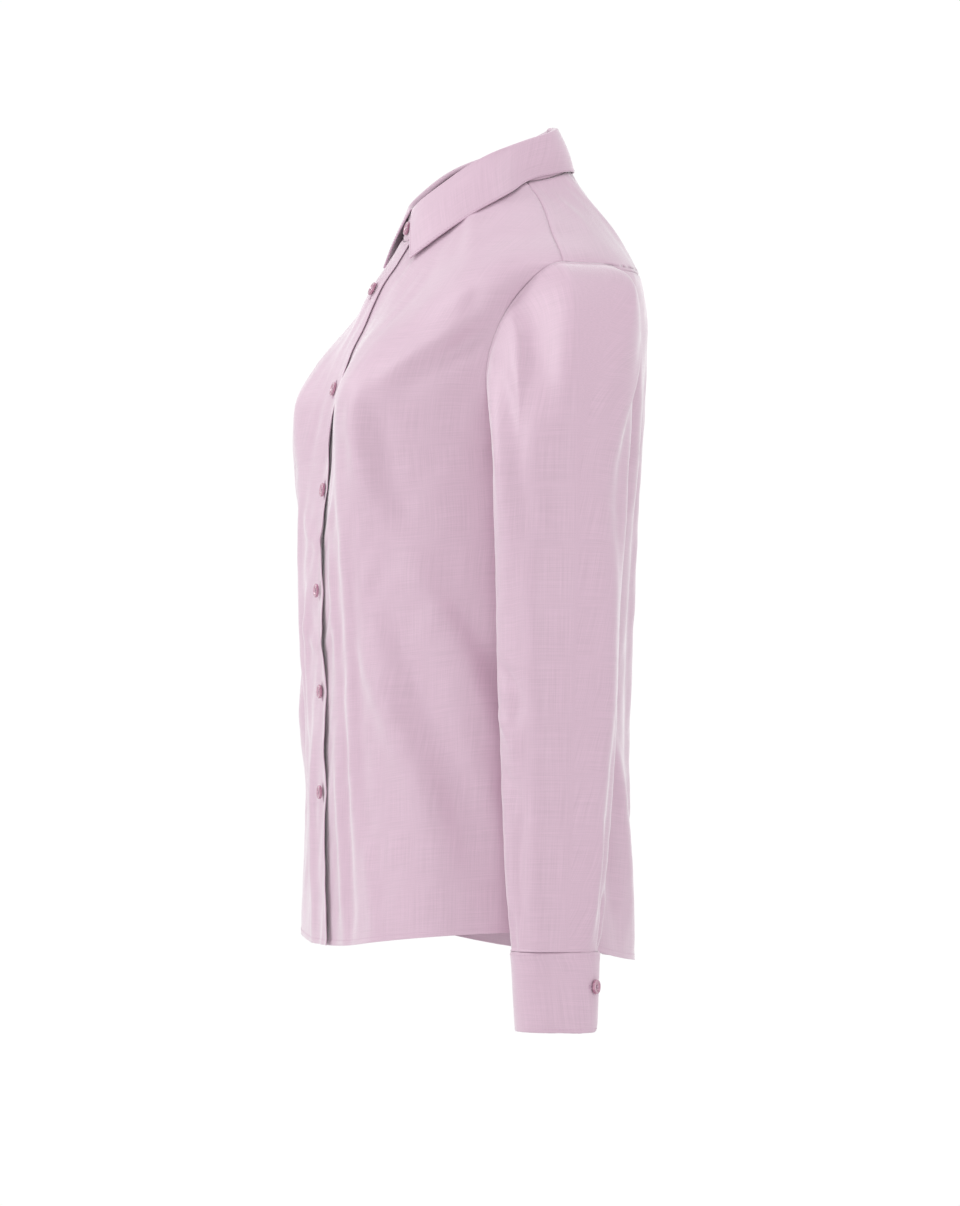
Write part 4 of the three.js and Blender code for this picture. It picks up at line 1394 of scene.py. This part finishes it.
def cloth_material():
    """Plain weave with fine uneven yarns and a soft sheen."""
    made, shader = material("lilac_shirting")
    tree = made.node_tree
    uv = add(tree, "ShaderNodeUVMap", uv_map="cloth").outputs[0]
    split = add(tree, "ShaderNodeSeparateXYZ")
    tree.links.new(uv, split.inputs[0])
    warp = math_node(tree, "MULTIPLY", split.outputs[0], math.pi / YARN)
    weft = math_node(tree, "MULTIPLY", split.outputs[1], math.pi / YARN)
    over = math_node(tree, "MULTIPLY", math_node(tree, "SINE", warp), math_node(tree, "SINE", weft))
    yarns = math_node(tree, "ADD", streaks(tree, uv, (26, 1500, 1)), streaks(tree, uv, (1500, 22, 1)))
    height = math_node(tree, "ADD", math_node(tree, "MULTIPLY", over, 0.3), yarns)
    bump = add(tree, "ShaderNodeBump")
    bump.inputs["Strength"].default_value = 0.35
    bump.inputs["Distance"].default_value = 0.00012
    tree.links.new(height, bump.inputs["Height"])
    tree.links.new(bump.outputs[0], shader.inputs["Normal"])
    mean = math_node(tree, "MULTIPLY", yarns, 0.5)
    tint_by(tree, mean, shader, shade(CLOTH_COLOUR, 0.93), shade(CLOTH_COLOUR, 1.07), 0.36, 0.64)
    shader.inputs["Roughness"].default_value = 0.5
    shader.inputs["Specular IOR Level"].default_value = 0.5
    shader.inputs["Sheen Weight"].default_value = 0.9
    shader.inputs["Sheen Roughness"].default_value = 0.32
    shader.inputs["Sheen Tint"].default_value = (1, 1, 1, 1)
    return made


def thread_material():
    made, shader = material("thread")
    tree = made.node_tree
    place = add(tree, "ShaderNodeTexCoord").outputs["Object"]
    tint_by(tree, noise(tree, place, 900), shader, shade(THREAD_COLOUR, 0.86), shade(THREAD_COLOUR, 1.08))
    shader.inputs["Roughness"].default_value = 0.5
    shader.inputs["Sheen Weight"].default_value = 0.2
    return made


def button_material():
    """Pearly rose plastic with soft swirls."""
    made, shader = material("rose_button")
    tree = made.node_tree
    place = add(tree, "ShaderNodeTexCoord").outputs["Object"]
    swirl = noise(tree, place, 190, 3, 1.6)
    tint_by(tree, swirl, shader, linear(158, 104, 128), linear(204, 156, 176), 0.32, 0.68)
    shader.inputs["Roughness"].default_value = 0.24
    shader.inputs["Coat Weight"].default_value = 0.6
    shader.inputs["Coat Roughness"].default_value = 0.12
    return made


CLOTH_LOOK = cloth_material()
THREAD_LOOK = thread_material()
BUTTON_LOOK = button_material()

sewn = sewing()
sewn["collar_fall"] = fall_stitches(fall_grid)
for node, piece in pieces.items():
    piece.data.materials.append(CLOTH_LOOK)
    if node in sewn:
        points, faces = joined(sewn[node])
        thread = object_of(node + "_sewing", points, faces)
        thread.data.materials.append(THREAD_LOOK)
        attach(thread, "root")
for node, disc, thread in make_buttons():
    disc.data.materials.append(BUTTON_LOOK)
    thread.data.materials.append(THREAD_LOOK)
    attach(disc, "root")
    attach(thread, "root")
    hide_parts(node)


# Camera, floor and light


def set_camera():
    camera = linked("camera", bpy.data.cameras.new("camera"))
    turn = math.radians(CAMERA["azimuth"])
    distance = CAMERA["distance"]
    camera.location = (distance * math.sin(turn), -distance * math.cos(turn), CAMERA["height"])
    camera.rotation_euler = (RIGHT_ANGLE, 0, turn)
    long_side = max(PHOTO["width"], PHOTO["height"])
    camera.data.sensor_width = CAMERA["sensor"]
    camera.data.lens = CAMERA["sensor"] * distance / (long_side * PHOTO["metres_per_pixel"])
    camera.data.shift_x = (PHOTO["width"] / 2 - PHOTO["axis_x"]) / long_side
    camera.data.shift_y = (PHOTO["axis_y"] - PHOTO["height"] / 2) / long_side
    bpy.context.scene.camera = camera


def set_stage():
    mesh = bpy.data.meshes.new("floor")
    turns = np.linspace(0, FULL_TURN, FLOOR_SIDES, endpoint=False)
    rim = [(FLOOR_RADIUS * math.cos(t), FLOOR_RADIUS * math.sin(t), FLOOR_Z) for t in turns]
    mesh.from_pydata(rim, [], [tuple(range(FLOOR_SIDES))])
    floor = linked("floor", mesh)
    made, shader = material("floor")
    shader.inputs["Base Color"].default_value = (0.9, 0.9, 0.9, 1)
    shader.inputs["Roughness"].default_value = 0.9
    floor.data.materials.append(made)
    world = bpy.data.worlds.new("world")
    bpy.context.scene.world = world
    world.use_nodes = True
    tree = world.node_tree
    place = add(tree, "ShaderNodeTexCoord")
    split = add(tree, "ShaderNodeSeparateXYZ")
    tree.links.new(place.outputs["Generated"], split.inputs[0])
    height = math_node(tree, "ABSOLUTE", split.outputs[2])
    fade = add(tree, "ShaderNodeMapRange", interpolation_type="SMOOTHSTEP")
    fade.inputs["From Min"].default_value = SKY["fade_from"]
    fade.inputs["From Max"].default_value = SKY["fade_to"]
    fade.inputs["To Min"].default_value = SKY["level"]
    fade.inputs["To Max"].default_value = SKY["above"]
    tree.links.new(height, fade.inputs["Value"])
    sky = tree.nodes["Background"]
    sky.inputs[0].default_value = (1, 1, 1, 1)
    tree.links.new(fade.outputs[0], sky.inputs[1])


def add_light(name, place, size, power):
    light = linked(name, bpy.data.lights.new(name, "AREA"))
    light.location = place
    light.rotation_euler = (Vector(LIGHT_AIM) - Vector(place)).to_track_quat("-Z", "Y").to_euler()
    light.data.shape = "DISK"
    light.data.size = size
    light.data.energy = power



set_camera()
set_stage()
for name, (place, size, power) in LIGHTS.items():
    add_light(name, place, size, power)
bpy.context.scene.view_settings.view_transform = "Standard"
